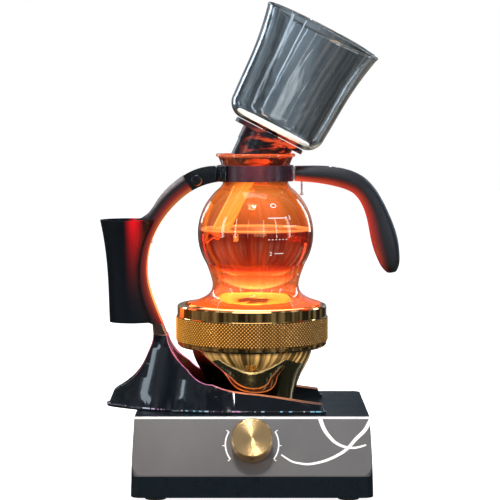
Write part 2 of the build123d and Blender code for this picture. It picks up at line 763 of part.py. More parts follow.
def tongue(grow):
    """Tongue on the collar that pushes into the bracket's pocket."""
    left = SERVER_X - COLLAR_R - TONGUE_LENGTH - grow
    right = SERVER_X - COLLAR_R + 2.0
    half = TONGUE_DEPTH / 2 + grow
    return block((left, -half, TONGUE_BOTTOM_Z - grow), (right, half, TONGUE_TOP_Z + grow))


def bracket_screw():
    """Round-head screw through the bracket from the front."""
    x, z = BRACKET_SCREW
    front = -BRACKET_DEPTH / 2
    head = Pos(x, front - 1.3, z) * Rot(90, 0, 0) * Cylinder(4.6, 2.6)
    head = fillet(head.edges().group_by(Axis.Y)[0], 1.6)
    slot = Pos(x, front - 2.6, z) * Rot(0, 35, 0) * Box(7.0, 1.6, 1.0)
    return head - slot + along_y(2.0, front, -front - 2.0, x, z)


# ---------------------------------------------------------------- server
def globe_outline(inset):
    """Right-hand side of the globe and neck, from the bottom of the globe upwards."""
    radius = GLOBE_R - inset
    neck_r = NECK_R - inset
    join_z = GLOBE_Z + sqrt(GLOBE_R ** 2 - (NECK_R + 2.2) ** 2)
    start = (0, 0, GLOBE_Z - radius)
    middle = (radius, 0, GLOBE_Z)
    angle = atan2(join_z - GLOBE_Z, NECK_R + 2.2)
    top = (radius * cos(angle), 0, GLOBE_Z + radius * sin(angle))
    sphere = ThreePointArc(start, middle, top)
    neck = Spline(top, (neck_r, 0, NECK_BOTTOM_Z), (NECK_TOP_R - inset, 0, NECK_TOP_Z),
                  (RIM_R - RIM_BEAD_R - inset * 0.5, 0, RIM_TOP_Z - RIM_BEAD_R))
    return sphere, neck


def globe():
    """Blown globe with a drawn neck and a rolled rim."""
    outer_sphere, outer_neck = globe_outline(0)
    inner_sphere, inner_neck = globe_outline(GLASS_WALL)
    outer_end = outer_neck.position_at(1)
    inner_end = inner_neck.position_at(1)
    outside = [outer_sphere, outer_neck, Line(outer_end, (0, 0, outer_end.Z)),
               Line((0, 0, outer_end.Z), (0, 0, GLOBE_Z - GLOBE_R))]
    inside = [inner_sphere, inner_neck, Line(inner_end, (0, 0, inner_end.Z)),
              Line((0, 0, inner_end.Z), (0, 0, GLOBE_Z - GLOBE_R + GLASS_WALL))]
    shell = turned(outside) - turned(inside)
    bead = place(Torus(RIM_R - RIM_BEAD_R, RIM_BEAD_R), 0, 0, RIM_TOP_Z - RIM_BEAD_R)
    return place(shell + bead, SERVER_X)


def glass_foot():
    """Flared glass foot fused under the globe."""
    outside = [(40.6, 180.5), (38.0, 173.5), (36.2, 167.5), (35.4, 162.5), (37.0, 157.0), (43.0, 152.0),
               (GLASS_FOOT_R, GLASS_FOOT_Z + 0.8)]
    inside = [(36.6, 180.5), (35.4, 173.5), (34.3, 167.5), (33.5, 162.0), (35.0, 155.8), (41.6, 150.4),
              (GLASS_FOOT_R - 0.8, GLASS_FOOT_Z)]
    edges = [
        curve(*outside),
        lines(outside[-1], inside[-1]),
        curve(*reversed(inside)),
        lines(inside[0], outside[0]),
    ]
    foot = turned(edges) - place(Sphere(GLOBE_R), 0, 0, GLOBE_Z)
    foot = sorted(foot.solids(), key=lambda s: s.volume)[-1]
    return place(foot, SERVER_X)


def neck_liner():
    """Soft sleeve between the glass neck and the collar."""
    sleeve = rod(COLLAR_BORE_R, COLLAR_BOTTOM_Z, COLLAR_TOP_Z)
    outer_sphere, outer_neck = globe_outline(0)
    outer_end = outer_neck.position_at(1)
    core = turned([outer_sphere, outer_neck, Line(outer_end, (0, 0, outer_end.Z)),
                   Line((0, 0, outer_end.Z), (0, 0, GLOBE_Z - GLOBE_R))])
    return place(sleeve - core, SERVER_X)


CLAMP_GAP = 2.0
CLAMP_EAR = 8.0
CLAMP_Y = COLLAR_R - 1.0


def neck_collar():
    """Clamp band round the neck, split at the back, with a tongue for the bracket."""
    band = tube(COLLAR_R, COLLAR_BORE_R, COLLAR_BOTTOM_Z, COLLAR_TOP_Z, SERVER_X)
    band = chamfer(band.edges().filter_by(GeomType.CIRCLE).sort_by(SortBy.RADIUS)[-2:], 0.5)
    band += tongue(0.0)
    for side in (-1, 1):
        near = side * CLAMP_GAP / 2
        far = side * (CLAMP_GAP / 2 + 3.0)
        low = (SERVER_X + min(near, far), CLAMP_Y, COLLAR_BOTTOM_Z + 2)
        high = (SERVER_X + max(near, far), CLAMP_Y + CLAMP_EAR, COLLAR_TOP_Z - 2)
        band += block(low, high)
    band -= block((SERVER_X - CLAMP_GAP / 2, 20, COLLAR_BOTTOM_Z - 1),
                  (SERVER_X + CLAMP_GAP / 2, 60, COLLAR_TOP_Z + 1))
    band -= rod(COLLAR_BORE_R, COLLAR_BOTTOM_Z - 1, COLLAR_TOP_Z + 1, SERVER_X)
    middle_z = (COLLAR_BOTTOM_Z + COLLAR_TOP_Z) / 2
    band -= along_x(1.7, SERVER_X - 20, SERVER_X + 20, CLAMP_Y + 5.0, middle_z)
    return band


def collar_screw():
    middle_z = (COLLAR_BOTTOM_Z + COLLAR_TOP_Z) / 2
    y = CLAMP_Y + 5.0
    screw = along_x(1.6, SERVER_X - 4.5, SERVER_X + 7.0, y, middle_z)
    head = along_x(2.8, SERVER_X - 6.5, SERVER_X - 4.0, y, middle_z)
    nut = Pos(SERVER_X + 4.0, y, middle_z) * Rot(0, 90, 0) * extrude(RegularPolygon(2.9, 6), amount=2.4)
    return screw + head + nut


# spine of the handle: x, z, half height, half depth
HANDLE_SECTIONS = [
    (35.0, 253.9, 6.3, 9.0),
    (55.0, 253.2, 7.2, 9.3),
    (72.0, 250.6, 7.9, 9.6),
    (87.0, 244.6, 8.0, 9.8),
    (97.8, 231.6, 8.3, 9.8),
    (104.8, 214.5, 9.8, 10.4),
    (109.3, 198.0, 10.8, 10.8),
    (112.6, 184.5, 9.1, 9.8),
    (114.4, 176.4, 6.4, 7.6),
    (115.0, 172.6, 3.4, 4.6),
]
TANG_END_X = 70.0


def handle():
    """Soft-touch grip moulded over the tang."""
    spine = curve(*[(x, z) for x, z, _, _ in HANDLE_SECTIONS])
    sections = []
    for x, z, half_height, half_depth in HANDLE_SECTIONS:
        heading = spine.tangent_at(spine.param_at_point((x, 0, z)))
        plane = Plane((x, 0, z), x_dir=(0, 1, 0), z_dir=heading)
        sections.append(plane * Ellipse(half_depth, half_height))
    grip = sweep(sections, path=spine, multisection=True)
    grip = fillet(grip.edges().sort_by(Axis.Z)[:1], 2.0)
    return grip - handle_tang() - glass_stay()


def handle_tang():
    """Steel bar riveted to the collar and running inside the grip."""
    start = SERVER_X + COLLAR_R
    bar = block((start, -5.0, 251.8), (TANG_END_X, 5.0, 254.6))
    plate = block((start - 1.0, -7.0, 249.5), (start + 1.6, 7.0, 259.0))
    return bar + plate - rod(COLLAR_R, 240, 270, SERVER_X)


def glass_stay():
    """Short wire post under the grip that keeps it off the globe's shoulder."""
    x = 40.8
    return rod(0.8, 237.0, 250.0, x, 0) + rod(1.5, 236.0, 238.0, x, 0)


# ---------------------------------------------------------------- upper chamber
CHAMBER = Location((FILTER_X, 0, FILTER_Z), (0, TILT_DEG, 0))


def bowl_edges(inset):
    """Side of the bowl from its floor to the flared rim."""
    floor = -BOWL_FLOOR - GLASS_WALL + inset
    corner_start = 28.0
    corner = ThreePointArc((corner_start, 0, floor), (36.9 - 0.75 * inset, 0, -1.4 + 0.6 * inset),
                           (41.4 - inset, 0, 9.5))
    side = Spline((41.4 - inset, 0, 9.5), (42.6 - inset, 0, 30.0), (44.2 - inset, 0, 54.0),
                  (46.8 - inset, 0, 72.0), (BOWL_RIM_R - 0.4 - inset, 0, BOWL_HEIGHT))
    return floor, corner_start, corner, side


def bowl_solid(inset):
    floor, corner_start, corner, side = bowl_edges(inset)
    top = side.position_at(1)
    return turned([
        Line((0, 0, floor), (corner_start, 0, floor)), corner, side,
        Line(top, (0, 0, top.Z)), Line((0, 0, top.Z), (0, 0, floor)),
    ])


def upper_bowl():
    """Glass tumbler with its stem."""
    bowl = bowl_solid(0) - bowl_solid(GLASS_WALL)
    bead = place(Torus(BOWL_RIM_R - 1.4, 1.3), 0, 0, BOWL_HEIGHT - 0.2)
    stem = rod(STEM_R, -STEM_LENGTH, -BOWL_FLOOR)
    bowl = bowl + bead + stem
    bowl -= rod(STEM_R - STEM_WALL, -STEM_LENGTH - 1, 0)
    return CHAMBER * bowl


def stopper():
    """Stepped rubber stopper on the stem."""
    profile = [(STEM_R + STEM_FIT, -STOPPER_TOP), (STOPPER_FLANGE_R - 1.0, -STOPPER_TOP),
               (STOPPER_FLANGE_R, -STOPPER_TOP - 1.0), (STOPPER_FLANGE_R, -STOPPER_STEP),
               (STOPPER_PLUG_R, -STOPPER_STEP), (STOPPER_PLUG_R - 0.5, -20.0),
               (STOPPER_PLUG_R - 1.1, -20.6), (STOPPER_PLUG_R - 1.6, -33.0),
               (STOPPER_PLUG_R - 2.4, -STOPPER_BOTTOM),
               (STEM_R + STEM_FIT, -STOPPER_BOTTOM), (STEM_R + STEM_FIT, -STOPPER_TOP)]
    return CHAMBER * turned([lines(*profile)])


FILTER_R = 33.0
FILTER_GAP = 0.2


def filter_plate():
    """Perforated steel plate at the bottom of the bowl."""
    plate = rod(FILTER_R, -BOWL_FLOOR, -BOWL_FLOOR + 1.0) & bowl_solid(GLASS_WALL + FILTER_GAP)
    for ring_r, count in ((10.0, 8), (17.0, 14), (24.0, 20)):
        for i in range(count):
            angle = 2 * pi * i / count
            plate -= rod(1.3, -10, 10, ring_r * cos(angle), ring_r * sin(angle))
    hub = rod(5.3, -BOWL_FLOOR - 4.0, -BOWL_FLOOR + 0.6)
    return CHAMBER * (plate + hub)


def filter_cloth():
    """Cloth stretched over the plate."""
    pad = rod(FILTER_R, -BOWL_FLOOR + 1.0, 0.8)
    pad = fillet(pad.edges().group_by(Axis.Z)[-1], 0.8)
    return CHAMBER * (pad & bowl_solid(GLASS_WALL + FILTER_GAP))


SPRING_TOP = -8.0
SPRING_BOTTOM = -36.0


def filter_spring():
    """Coil spring inside the stem that keeps the filter down."""
    pitch = 3.5
    coil = Helix(pitch=pitch, height=SPRING_TOP - SPRING_BOTTOM, radius=2.6)
    start = coil.position_at(0)
    wire = sweep(Plane(start, z_dir=coil.tangent_at(0)) * Circle(0.45), path=coil, is_frenet=True)
    return CHAMBER * place(wire, 0, 0, SPRING_BOTTOM)


BEAD_R = 1.25
BEAD_PITCH = 3.2


def filter_chain():
    """Bead chain from the spring down through the stem."""
    chain = rod(0.45, -94.0, -37.0)
    count = 17
    for i in range(count):
        chain += place(Sphere(BEAD_R), 0, 0, -40.0 - i * BEAD_PITCH)
    return CHAMBER * chain


def filter_hook():
    """Wire hook at the end of the stem."""
    catch = -STEM_LENGTH - 1.0
    points = [(0, 0, -94.0), (0, 0, -100.0), (-0.5, 0, -HOOK_TIP), (4.6, 0, catch), (8.0, 0, catch),
              (8.0, 0, -STEM_LENGTH + 3.0)]
    path = FilletPolyline(*points, radius=1.0)
    return CHAMBER * wire_solid(path, 0.55)


CHAIN_R = 39.6


def hook_tip():
    """Lowest point of the hook, at rest."""
    return CHAMBER * Location((-0.5, 0, -HOOK_TIP))


def pull_chain():
    """Loose tail of the bead chain, lying along the inside of the globe."""
    tip = hook_tip().position
    centre = Vector(SERVER_X, 0, GLOBE_Z)
    start = degrees(atan2(tip.Z - centre.Z, tip.X - centre.X)) % 360
    step = degrees(BEAD_PITCH / CHAIN_R)
    count = 9
    reach_in = (tip - centre).length
    middles = []
    for i in range(count):
        ease = min(1.0, (i + 1) / 3)
        radius = reach_in + (CHAIN_R - reach_in) * ease
        angle = radians(start + step * (i + 1.0))
        middles.append(Vector(centre.X + radius * cos(angle), 0, centre.Z + radius * sin(angle)))
    tail = Pos(middles[0]) * Sphere(BEAD_R)
    for near, far in zip(middles, middles[1:]):
        tail += wire_solid(Line(near, far), 0.45)
        tail += Pos(far) * Sphere(BEAD_R)
    return tail


# ---------------------------------------------------------------- export
NODES = [
    base_tray, housing, front_panel, panel_trim, rubber_feet, tray_screws, cord_gland, gland_nut,
    dimmer_board, board_parts, board_screws, heat_sink, triac, potentiometer, pot_nut,
    terminal_block, thermal_cutout, lamp_leads, supply_leads,
    lamp_cup, cup_screws, lamp_socket, halogen_lamp, lamp_reflector, window_gasket, lamp_window,
    window_seal, knurled_ring, control_knob, knob_screw, dimmer_shaft,
    stand_foot, arm_bolt, neck_sleeve, stand_arm, arm_cover, stem_holder, holder_screws,
    collar_bracket, bracket_screw,
    globe, glass_foot, neck_liner, neck_collar, collar_screw, handle, handle_tang, glass_stay,
    upper_bowl, stopper, filter_plate, filter_cloth, filter_spring, filter_chain, filter_hook,
    pull_chain,
]

os.makedirs("parts", exist_ok=True)
for node in NODES:
    export_step(node(), f"parts/{node.__name__}.step")
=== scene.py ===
import json
from math import atan2, cos, inf, pi, radians, sin, sqrt, tau

import bmesh
import bpy
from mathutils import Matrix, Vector


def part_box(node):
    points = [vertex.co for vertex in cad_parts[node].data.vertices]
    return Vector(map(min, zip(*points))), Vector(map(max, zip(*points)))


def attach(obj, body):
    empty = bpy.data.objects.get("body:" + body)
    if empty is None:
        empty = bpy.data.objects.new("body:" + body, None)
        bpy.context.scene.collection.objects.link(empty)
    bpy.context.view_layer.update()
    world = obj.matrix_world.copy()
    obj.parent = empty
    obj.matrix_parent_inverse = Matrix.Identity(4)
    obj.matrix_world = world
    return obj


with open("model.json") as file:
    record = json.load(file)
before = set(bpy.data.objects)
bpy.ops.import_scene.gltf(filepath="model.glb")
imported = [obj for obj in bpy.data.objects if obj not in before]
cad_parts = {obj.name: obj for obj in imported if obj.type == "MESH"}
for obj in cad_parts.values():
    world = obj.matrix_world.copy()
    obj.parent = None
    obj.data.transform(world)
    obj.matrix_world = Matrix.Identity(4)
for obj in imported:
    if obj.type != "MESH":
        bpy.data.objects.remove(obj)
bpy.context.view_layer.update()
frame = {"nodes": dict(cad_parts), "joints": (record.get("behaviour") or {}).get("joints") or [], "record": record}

MM = 0.001

# ---------------------------------------------------------------- places taken from the frame
JOINTS = {joint["name"]: joint for joint in frame["joints"]}


def middle(node):
    low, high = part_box(node)
    return (Vector(low) + Vector(high)) / 2


GLOBE_LOW, GLOBE_HIGH = (Vector(corner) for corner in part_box("globe"))
GLOBE_R = (GLOBE_HIGH.y - GLOBE_LOW.y) / 2
GLOBE_CENTRE = Vector((middle("globe").x, 0.0, GLOBE_LOW.z + GLOBE_R))
GLASS_WALL = 2.0 * MM
WATER_LEVEL = GLOBE_CENTRE.z + 3.3 * MM
WINDOW_TOP = Vector(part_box("lamp_window")[1]).z
LAMP_DEPTH = 18 * MM
HOLDER_LOW, HOLDER_HIGH = (Vector(corner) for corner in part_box("stem_holder"))
RING_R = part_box("knurled_ring")[1][0]
# the arm's edges follow circles about this point; its light creeps this far from the inner one
ARM_CENTRE = (-8 * MM, 0.0, 176 * MM)
ARM_INNER_R = 76.5 * MM
ARM_SPILL = 9 * MM
ARM_OUTER_R = 90.5 * MM
KNURL_DEPTH = 0.9 * MM

# ---------------------------------------------------------------- materials
def fill_ramp(node, stops):
    """Sets the stops of a colour ramp; each is a position and a colour."""
    elements = node.color_ramp.elements
    while len(elements) < len(stops):
        elements.new(0.5)
    for element, (position, colour) in zip(elements, stops):
        element.position = position
        element.color = (*colour, 1.0)


class Look:
    """One procedural material on a Principled shader; coordinates are the row frame's metres."""

    def __init__(self, name, **sockets):
        self.material = bpy.data.materials.new(name)
        self.material.use_nodes = True
        self.tree = self.material.node_tree
        self.shader = self.tree.nodes["Principled BSDF"]
        self.place = self.node("ShaderNodeTexCoord").outputs["Object"]
        self.height = None
        for socket, value in sockets.items():
            self.set(socket.replace("_", " "), value)

    def node(self, kind, **settings):
        node = self.tree.nodes.new(kind)
        for key, value in settings.items():
            setattr(node, key, value)
        return node

    def link(self, source, target):
        self.tree.links.new(source, target)

    def feed(self, target, value):
        """Puts a node's output, a colour or a number into a socket."""
        if isinstance(value, bpy.types.NodeSocket):
            self.link(value, target)
        elif isinstance(value, tuple):
            target.default_value = (*value, 1.0)
        else:
            target.default_value = value

    def set(self, socket, value):
        self.feed(self.shader.inputs[socket], value)

    def glow(self, colour, strength):
        self.set("Emission Color", colour)
        self.set("Emission Strength", strength)

    def math(self, operation, first, second=None):
        node = self.node("ShaderNodeMath", operation=operation)
        self.feed(node.inputs[0], first)
        if second is not None:
            self.feed(node.inputs[1], second)
        return node.outputs[0]

    def times(self, *values):
        """Product of the values."""
        product = values[0]
        for value in values[1:]:
            product = self.math("MULTIPLY", product, value)
        return product

    def stretched(self, stretch):
        node = self.node("ShaderNodeMapping")
        node.inputs["Scale"].default_value = stretch
        self.link(self.place, node.inputs["Vector"])
        return node.outputs[0]

    def noise(self, size, detail=4.0, stretch=(1, 1, 1), rough=0.55):
        """Noise whose lumps are about size metres across, longer where stretch is under 1."""
        node = self.node("ShaderNodeTexNoise")
        node.inputs["Scale"].default_value = 1 / size
        node.inputs["Detail"].default_value = detail
        node.inputs["Roughness"].default_value = rough
        self.link(self.stretched(stretch), node.inputs["Vector"])
        return node.outputs["Fac"]

    def cells(self, size, feature="F1"):
        node = self.node("ShaderNodeTexVoronoi", feature=feature)
        node.inputs["Scale"].default_value = 1 / size
        self.link(self.place, node.inputs["Vector"])
        return node.outputs["Distance"]

    def ramp(self, value, *stops):
        """Colour along the value; each stop is a position and a colour."""
        node = self.node("ShaderNodeValToRGB")
        fill_ramp(node, stops)
        self.link(value, node.inputs[0])
        return node.outputs[0]

    def levels(self, value, *stops):
        """Brightness along the value; each stop is a position and a level."""
        return self.ramp(value, *((position, (level,) * 3) for position, level in stops))

    def spread(self, value, low, high, out_low=0.0, out_high=1.0, smooth=False):
        """The value's range low to high carried over to out_low to out_high, clamped."""
        kind = "SMOOTHSTEP" if smooth else "LINEAR"
        node = self.node("ShaderNodeMapRange", interpolation_type=kind)
        for index, number in enumerate((low, high, out_low, out_high)):
            node.inputs[index + 1].default_value = number
        self.link(value, node.inputs[0])
        return node.outputs[0]

    def patchy(self, size, low, high):
        """Cloudy variation between two values."""
        return self.spread(self.noise(size), 0.3, 0.7, low, high)

    def mix(self, factor, first, second):
        node = self.node("ShaderNodeMix", data_type="RGBA")
        self.feed(node.inputs["Factor"], factor)
        self.feed(node.inputs[6], first)
        self.feed(node.inputs[7], second)
        return node.outputs[2]

    def axis(self, name):
        node = self.node("ShaderNodeSeparateXYZ")
        self.link(self.place, node.inputs[0])
        return node.outputs[name]

    def distance(self, point, squash=(1, 1, 1)):
        """Distance from a point in metres, measured in a stretched space."""
        node = self.node("ShaderNodeVectorMath", operation="DISTANCE")
        self.link(self.stretched(squash), node.inputs[0])
        node.inputs[1].default_value = [p * s for p, s in zip(point, squash)]
        return node.outputs["Value"]

    def bump(self, value, depth, strength=1.0):
        """Adds height detail; depth in metres. Calls stack."""
        node = self.node("ShaderNodeBump")
        node.inputs["Distance"].default_value = depth
        node.inputs["Strength"].default_value = strength
        self.link(value, node.inputs["Height"])
        if self.height is not None:
            self.link(self.height, node.inputs["Normal"])
        self.height = node.outputs[0]
        self.link(self.height, self.shader.inputs["Normal"])

    def facing(self, point):
        """1 where the surface faces the point, 0 where it is side on or turned away."""
        geometry = self.node("ShaderNodeNewGeometry")
        towards = self.node("ShaderNodeVectorMath", operation="SUBTRACT")
        towards.inputs[0].default_value = point
        self.link(self.place, towards.inputs[1])
        unit = self.node("ShaderNodeVectorMath", operation="NORMALIZE")
        self.link(towards.outputs[0], unit.inputs[0])
        dot = self.node("ShaderNodeVectorMath", operation="DOT_PRODUCT")
        self.link(unit.outputs[0], dot.inputs[0])
        self.link(geometry.outputs["Normal"], dot.inputs[1])
        return self.math("MAXIMUM", dot.outputs["Value"], 0.0)

    def lit_by_globe(self, strength, near, reach, power=1.0,
                     hot=(1.0, 0.42, 0.14), cool=(1.0, 0.05, 0.02)):
        """Warm light of the glowing globe on the surfaces that face it, fading with distance."""
        fade = self.spread(self.distance(GLOBE_CENTRE), near, reach, 1.0, 0.0, smooth=True)
        facing = self.math("POWER", self.facing(GLOBE_CENTRE), power)
        self.glow(self.ramp(fade, (0.0, cool), (1.0, hot)), self.times(fade, facing, strength))

    def lit_inner_edge(self, strength, spill):
        """The same light on the arm: bright on its inner edge, creeping on to its sides."""
        away = self.distance(ARM_CENTRE, (1, 0, 1))
        edge = self.spread(away, ARM_INNER_R, ARM_INNER_R + ARM_SPILL, 1.0, 0.0)
        facing = self.math("ADD", self.facing(GLOBE_CENTRE), spill)
        colour = self.ramp(edge, (0.0, (0.5, 0.0, 0.0)), (0.6, (1.0, 0.03, 0.0)),
                           (1.0, (1.0, 0.3, 0.05)))
        self.glow(colour, self.times(self.math("POWER", edge, 1.5), facing, strength))


def shade(colour, factor):
    return tuple(channel * factor for channel in colour)


def finish(name, colour, rough, metal=0.0, tint=0.15, grain=6 * MM, bump=0.0, bump_size=0.6 * MM,
           rough_spread=0.06, **sockets):
    """Surface with cloudy colour, uneven gloss, and fine relief."""
    look = Look(name, Metallic=metal, **sockets)
    cloud = look.noise(grain, 5.0)
    look.set("Base Color", look.ramp(cloud, (0.3, shade(colour, 1 - tint)),
                                     (0.7, shade(colour, 1 + tint))))
    wear = look.noise(grain * 2.7, 6.0, rough=0.65)
    look.set("Roughness", look.spread(wear, 0.3, 0.7, rough - rough_spread, rough + rough_spread))
    if bump:
        look.bump(look.noise(bump_size, 3.0), bump)
    return look


def case_black():
    return finish("case_black", (0.006, 0.011, 0.016), 0.3, bump=0.004 * MM, bump_size=0.8 * MM,
                  Specular_IOR_Level=0.16, Coat_Weight=0.1, Coat_Roughness=0.16)


def panel_grey():
    look = finish("panel_grey", (0.13, 0.126, 0.13), 0.3, metal=0.3, tint=0.08, grain=40 * MM,
                  rough_spread=0.05)
    look.bump(look.noise(0.35 * MM, 4.0, (0.05, 1, 1)), 0.006 * MM)
    return look


def trim_silver():
    look = finish("trim_silver", (0.86, 0.86, 0.85), 0.3, metal=0.4, tint=0.05, rough_spread=0.05)
    look.bump(look.noise(0.3 * MM, 3.0, (0.05, 1, 1)), 0.004 * MM)
    return look


def rubber():
    return finish("rubber", (0.018, 0.018, 0.019), 0.72, bump=0.03 * MM, bump_size=0.4 * MM)


def steel():
    """Drawn steel, with a painted orange glow where it runs inside the glowing globe."""
    look = finish("steel", (0.55, 0.55, 0.56), 0.24, metal=1.0, tint=0.06, rough_spread=0.08)
    look.bump(look.noise(0.3 * MM, 3.0, (1, 1, 0.1)), 0.004 * MM)
    away = look.distance(GLOBE_CENTRE)
    inside = look.spread(away, GLOBE_R - 8 * MM, GLOBE_R - GLASS_WALL, 1.0, 0.0)
    look.glow((1.0, 0.26, 0.06), look.times(inside, 0.7))
    return look


def gland_nylon():
    return finish("gland_nylon", (0.02, 0.02, 0.022), 0.5, bump=0.02 * MM, bump_size=0.5 * MM)


def board_green():
    look = finish("board_green", (0.02, 0.12, 0.045), 0.35, grain=3 * MM, Coat_Weight=0.3)
    tracks = look.spread(look.cells(3.2 * MM, "DISTANCE_TO_EDGE"), 0.0, 0.16)
    look.bump(tracks, 0.03 * MM)
    return look


def component_plastic():
    return finish("component_plastic", (0.05, 0.09, 0.16), 0.45, tint=0.5, grain=9 * MM,
                  bump=0.02 * MM)


def heat_sink():
    look = finish("heat_sink", (0.42, 0.43, 0.44), 0.4, metal=1.0, tint=0.08)
    look.bump(look.noise(0.35 * MM, 3.0, (1, 0.05, 1)), 0.01 * MM)
    return look


def lead_insulation():
    return finish("lead_insulation", (0.5, 0.06, 0.04), 0.55, tint=0.4, grain=30 * MM,
                  bump=0.02 * MM)


def gold_mirror():
    """Vacuum-gilt spun cup: fine turning lines over a soft, uneven swell."""
    look = finish("gold_mirror", (0.93, 0.62, 0.25), 0.07, metal=1.0, tint=0.06, grain=18 * MM,
                  rough_spread=0.03)
    look.bump(look.noise(0.5 * MM, 2.0, (0.02, 0.02, 1)), 0.0035 * MM)
    look.bump(look.noise(16 * MM, 2.0), 0.35 * MM, 0.5)
    return look


def ceramic():
    return finish("ceramic", (0.78, 0.75, 0.69), 0.5, tint=0.06, bump=0.03 * MM, bump_size=0.8 * MM)


def lamp_glass():
    look = finish("lamp_glass", (1.0, 0.86, 0.6), 0.08, Transmission_Weight=0.5)
    look.glow(look.ramp(look.noise(3 * MM), (0.3, (1.0, 0.5, 0.16)), (0.7, (1.0, 0.75, 0.4))), 9.0)
    return look


def reflector():
    """Dimpled reflector with a painted glow, brightest close to the lamp."""
    look = finish("reflector", (0.95, 0.8, 0.55), 0.16, metal=1.0, tint=0.08)
    look.bump(look.cells(4 * MM), 0.2 * MM)
    away = look.distance((0, 0, WINDOW_TOP - LAMP_DEPTH))
    look.glow((1.0, 0.5, 0.14), look.spread(away, 10 * MM, 55 * MM, 3.0, 0.4))
    return look


def lamp_window():
    """Frosted heat-proof disc over the lamp, with a painted glow brightest over the filament."""
    look = finish("lamp_window", (1.0, 0.82, 0.55), 0.6, Transmission_Weight=0.3,
                  Specular_IOR_Level=0.1)
    near = look.spread(look.distance((0, 0, WINDOW_TOP)), 0.0, 56 * MM, 1.0, 0.0, smooth=True)
    colour = look.ramp(near, (0.0, (1.0, 0.13, 0.01)), (0.5, (1.0, 0.28, 0.04)),
                       (1.0, (1.0, 0.6, 0.18)))
    look.glow(colour, look.spread(near, 0.0, 1.0, 0.8, 3.0))
    look.bump(look.noise(1.2 * MM), 0.04 * MM)
    return look


def brass():
    """Polished turned brass, with a faint painted warm glow on the arm's side."""
    look = finish("brass", (0.83, 0.53, 0.2), 0.06, metal=1.0, tint=0.12, grain=9 * MM,
                  rough_spread=0.03)
    look.bump(look.noise(0.4 * MM, 2.0, (0.02, 0.02, 1)), 0.004 * MM)
    # painted warm glow, strongest on the arm's side
    arm_side_glow = look.spread(look.axis("X"), -62 * MM, -10 * MM, 1.0, 0.0, smooth=True)
    look.glow((1.0, 0.3, 0.04), look.times(arm_side_glow, 0.07))
    return look


def knurl_brass():
    """Knurled band: painted shade in the cuts, painted highlight and warm glow on the points, most on the arm's
    side.
    """
    look = finish("knurl_brass", (0.8, 0.47, 0.15), 0.27, metal=1.0, tint=0.15, grain=7 * MM)
    out = look.distance((0, 0, 0), (1, 1, 0))
    cut = look.spread(out, RING_R, RING_R + 0.7 * KNURL_DEPTH)
    # base colour runs from painted shade in the cuts to a painted highlight on the points
    look.set("Base Color", look.ramp(cut, (0.0, (0.06, 0.022, 0.006)), (0.4, (0.42, 0.2, 0.05)),
                                     (1.0, (1.0, 0.7, 0.32))))
    # painted warm glow on the points, strongest on the arm's side
    arm_side_glow = look.spread(look.axis("X"), -RING_R, RING_R, 1.0, 0.22, smooth=True)
    look.glow(look.ramp(arm_side_glow, (0.3, (1.0, 0.5, 0.13)), (1.0, (1.0, 0.38, 0.015))),
              look.times(arm_side_glow, cut, 0.95))
    look.bump(look.noise(0.25 * MM, 2.0), 0.02 * MM)
    return look


def knob_brass():
    """Turned knob: circular tool marks on the face, satin side."""
    look = finish("knob_brass", (0.8, 0.52, 0.24), 0.24, metal=1.0, tint=0.03, grain=14 * MM,
                  Anisotropic=0.9, Anisotropic_Rotation=0.25, rough_spread=0.01)
    offset = look.node("ShaderNodeVectorMath", operation="SUBTRACT")
    look.link(look.place, offset.inputs[0])
    offset.inputs[1].default_value = Vector(JOINTS["knob_turn"]["pos_m"])
    around = look.node("ShaderNodeVectorMath", operation="CROSS_PRODUCT")
    around.inputs[0].default_value = Vector(JOINTS["knob_turn"]["axis"])
    look.link(offset.outputs[0], around.inputs[1])
    unit = look.node("ShaderNodeVectorMath", operation="NORMALIZE")
    look.link(around.outputs[0], unit.inputs[0])
    look.link(unit.outputs[0], look.shader.inputs["Tangent"])
    length = look.node("ShaderNodeVectorMath", operation="LENGTH")
    look.link(around.outputs[0], length.inputs[0])
    rings = look.node("ShaderNodeTexNoise", noise_dimensions="1D")
    rings.inputs["Scale"].default_value = 1 / (0.22 * MM)
    look.link(length.outputs["Value"], rings.inputs["W"])
    look.bump(rings.outputs["Fac"], 0.01 * MM)
    return look


def gloss_black():
    """Piano-black casting with a slight orange peel and the globe's light on it."""
    look = finish("gloss_black", (0.004, 0.006, 0.009), 0.12, tint=0.2, rough_spread=0.03,
                  Specular_IOR_Level=0.2, Coat_Weight=0.55, Coat_Roughness=0.03)
    look.bump(look.noise(5 * MM, 2.0), 0.05 * MM, 0.6)
    look.lit_by_globe(1.0, 45 * MM, 150 * MM, 1.6, hot=(1.0, 0.22, 0.04), cool=(0.8, 0.07, 0.04))
    return look


def collar_black():
    """Neck band: smooth satin black with a painted plum and red glow across its middle, from the lit glass behind
    it.
    """
    look = finish("collar_black", (0.03, 0.012, 0.02), 0.3, bump=0.01 * MM, bump_size=0.5 * MM,
                  Specular_IOR_Level=0.3)
    across = look.spread(look.axis("X"), GLOBE_CENTRE.x - 18 * MM, GLOBE_CENTRE.x + 18 * MM)
    # painted plum and red glow, dark at both sides
    colour = look.ramp(across, (0.0, (0.03, 0.02, 0.04)), (0.3, (0.8, 0.12, 0.2)),
                       (0.65, (0.9, 0.12, 0.12)), (1.0, (0.04, 0.02, 0.03)))
    look.glow(colour, look.patchy(9 * MM, 0.05, 0.14))
    return look


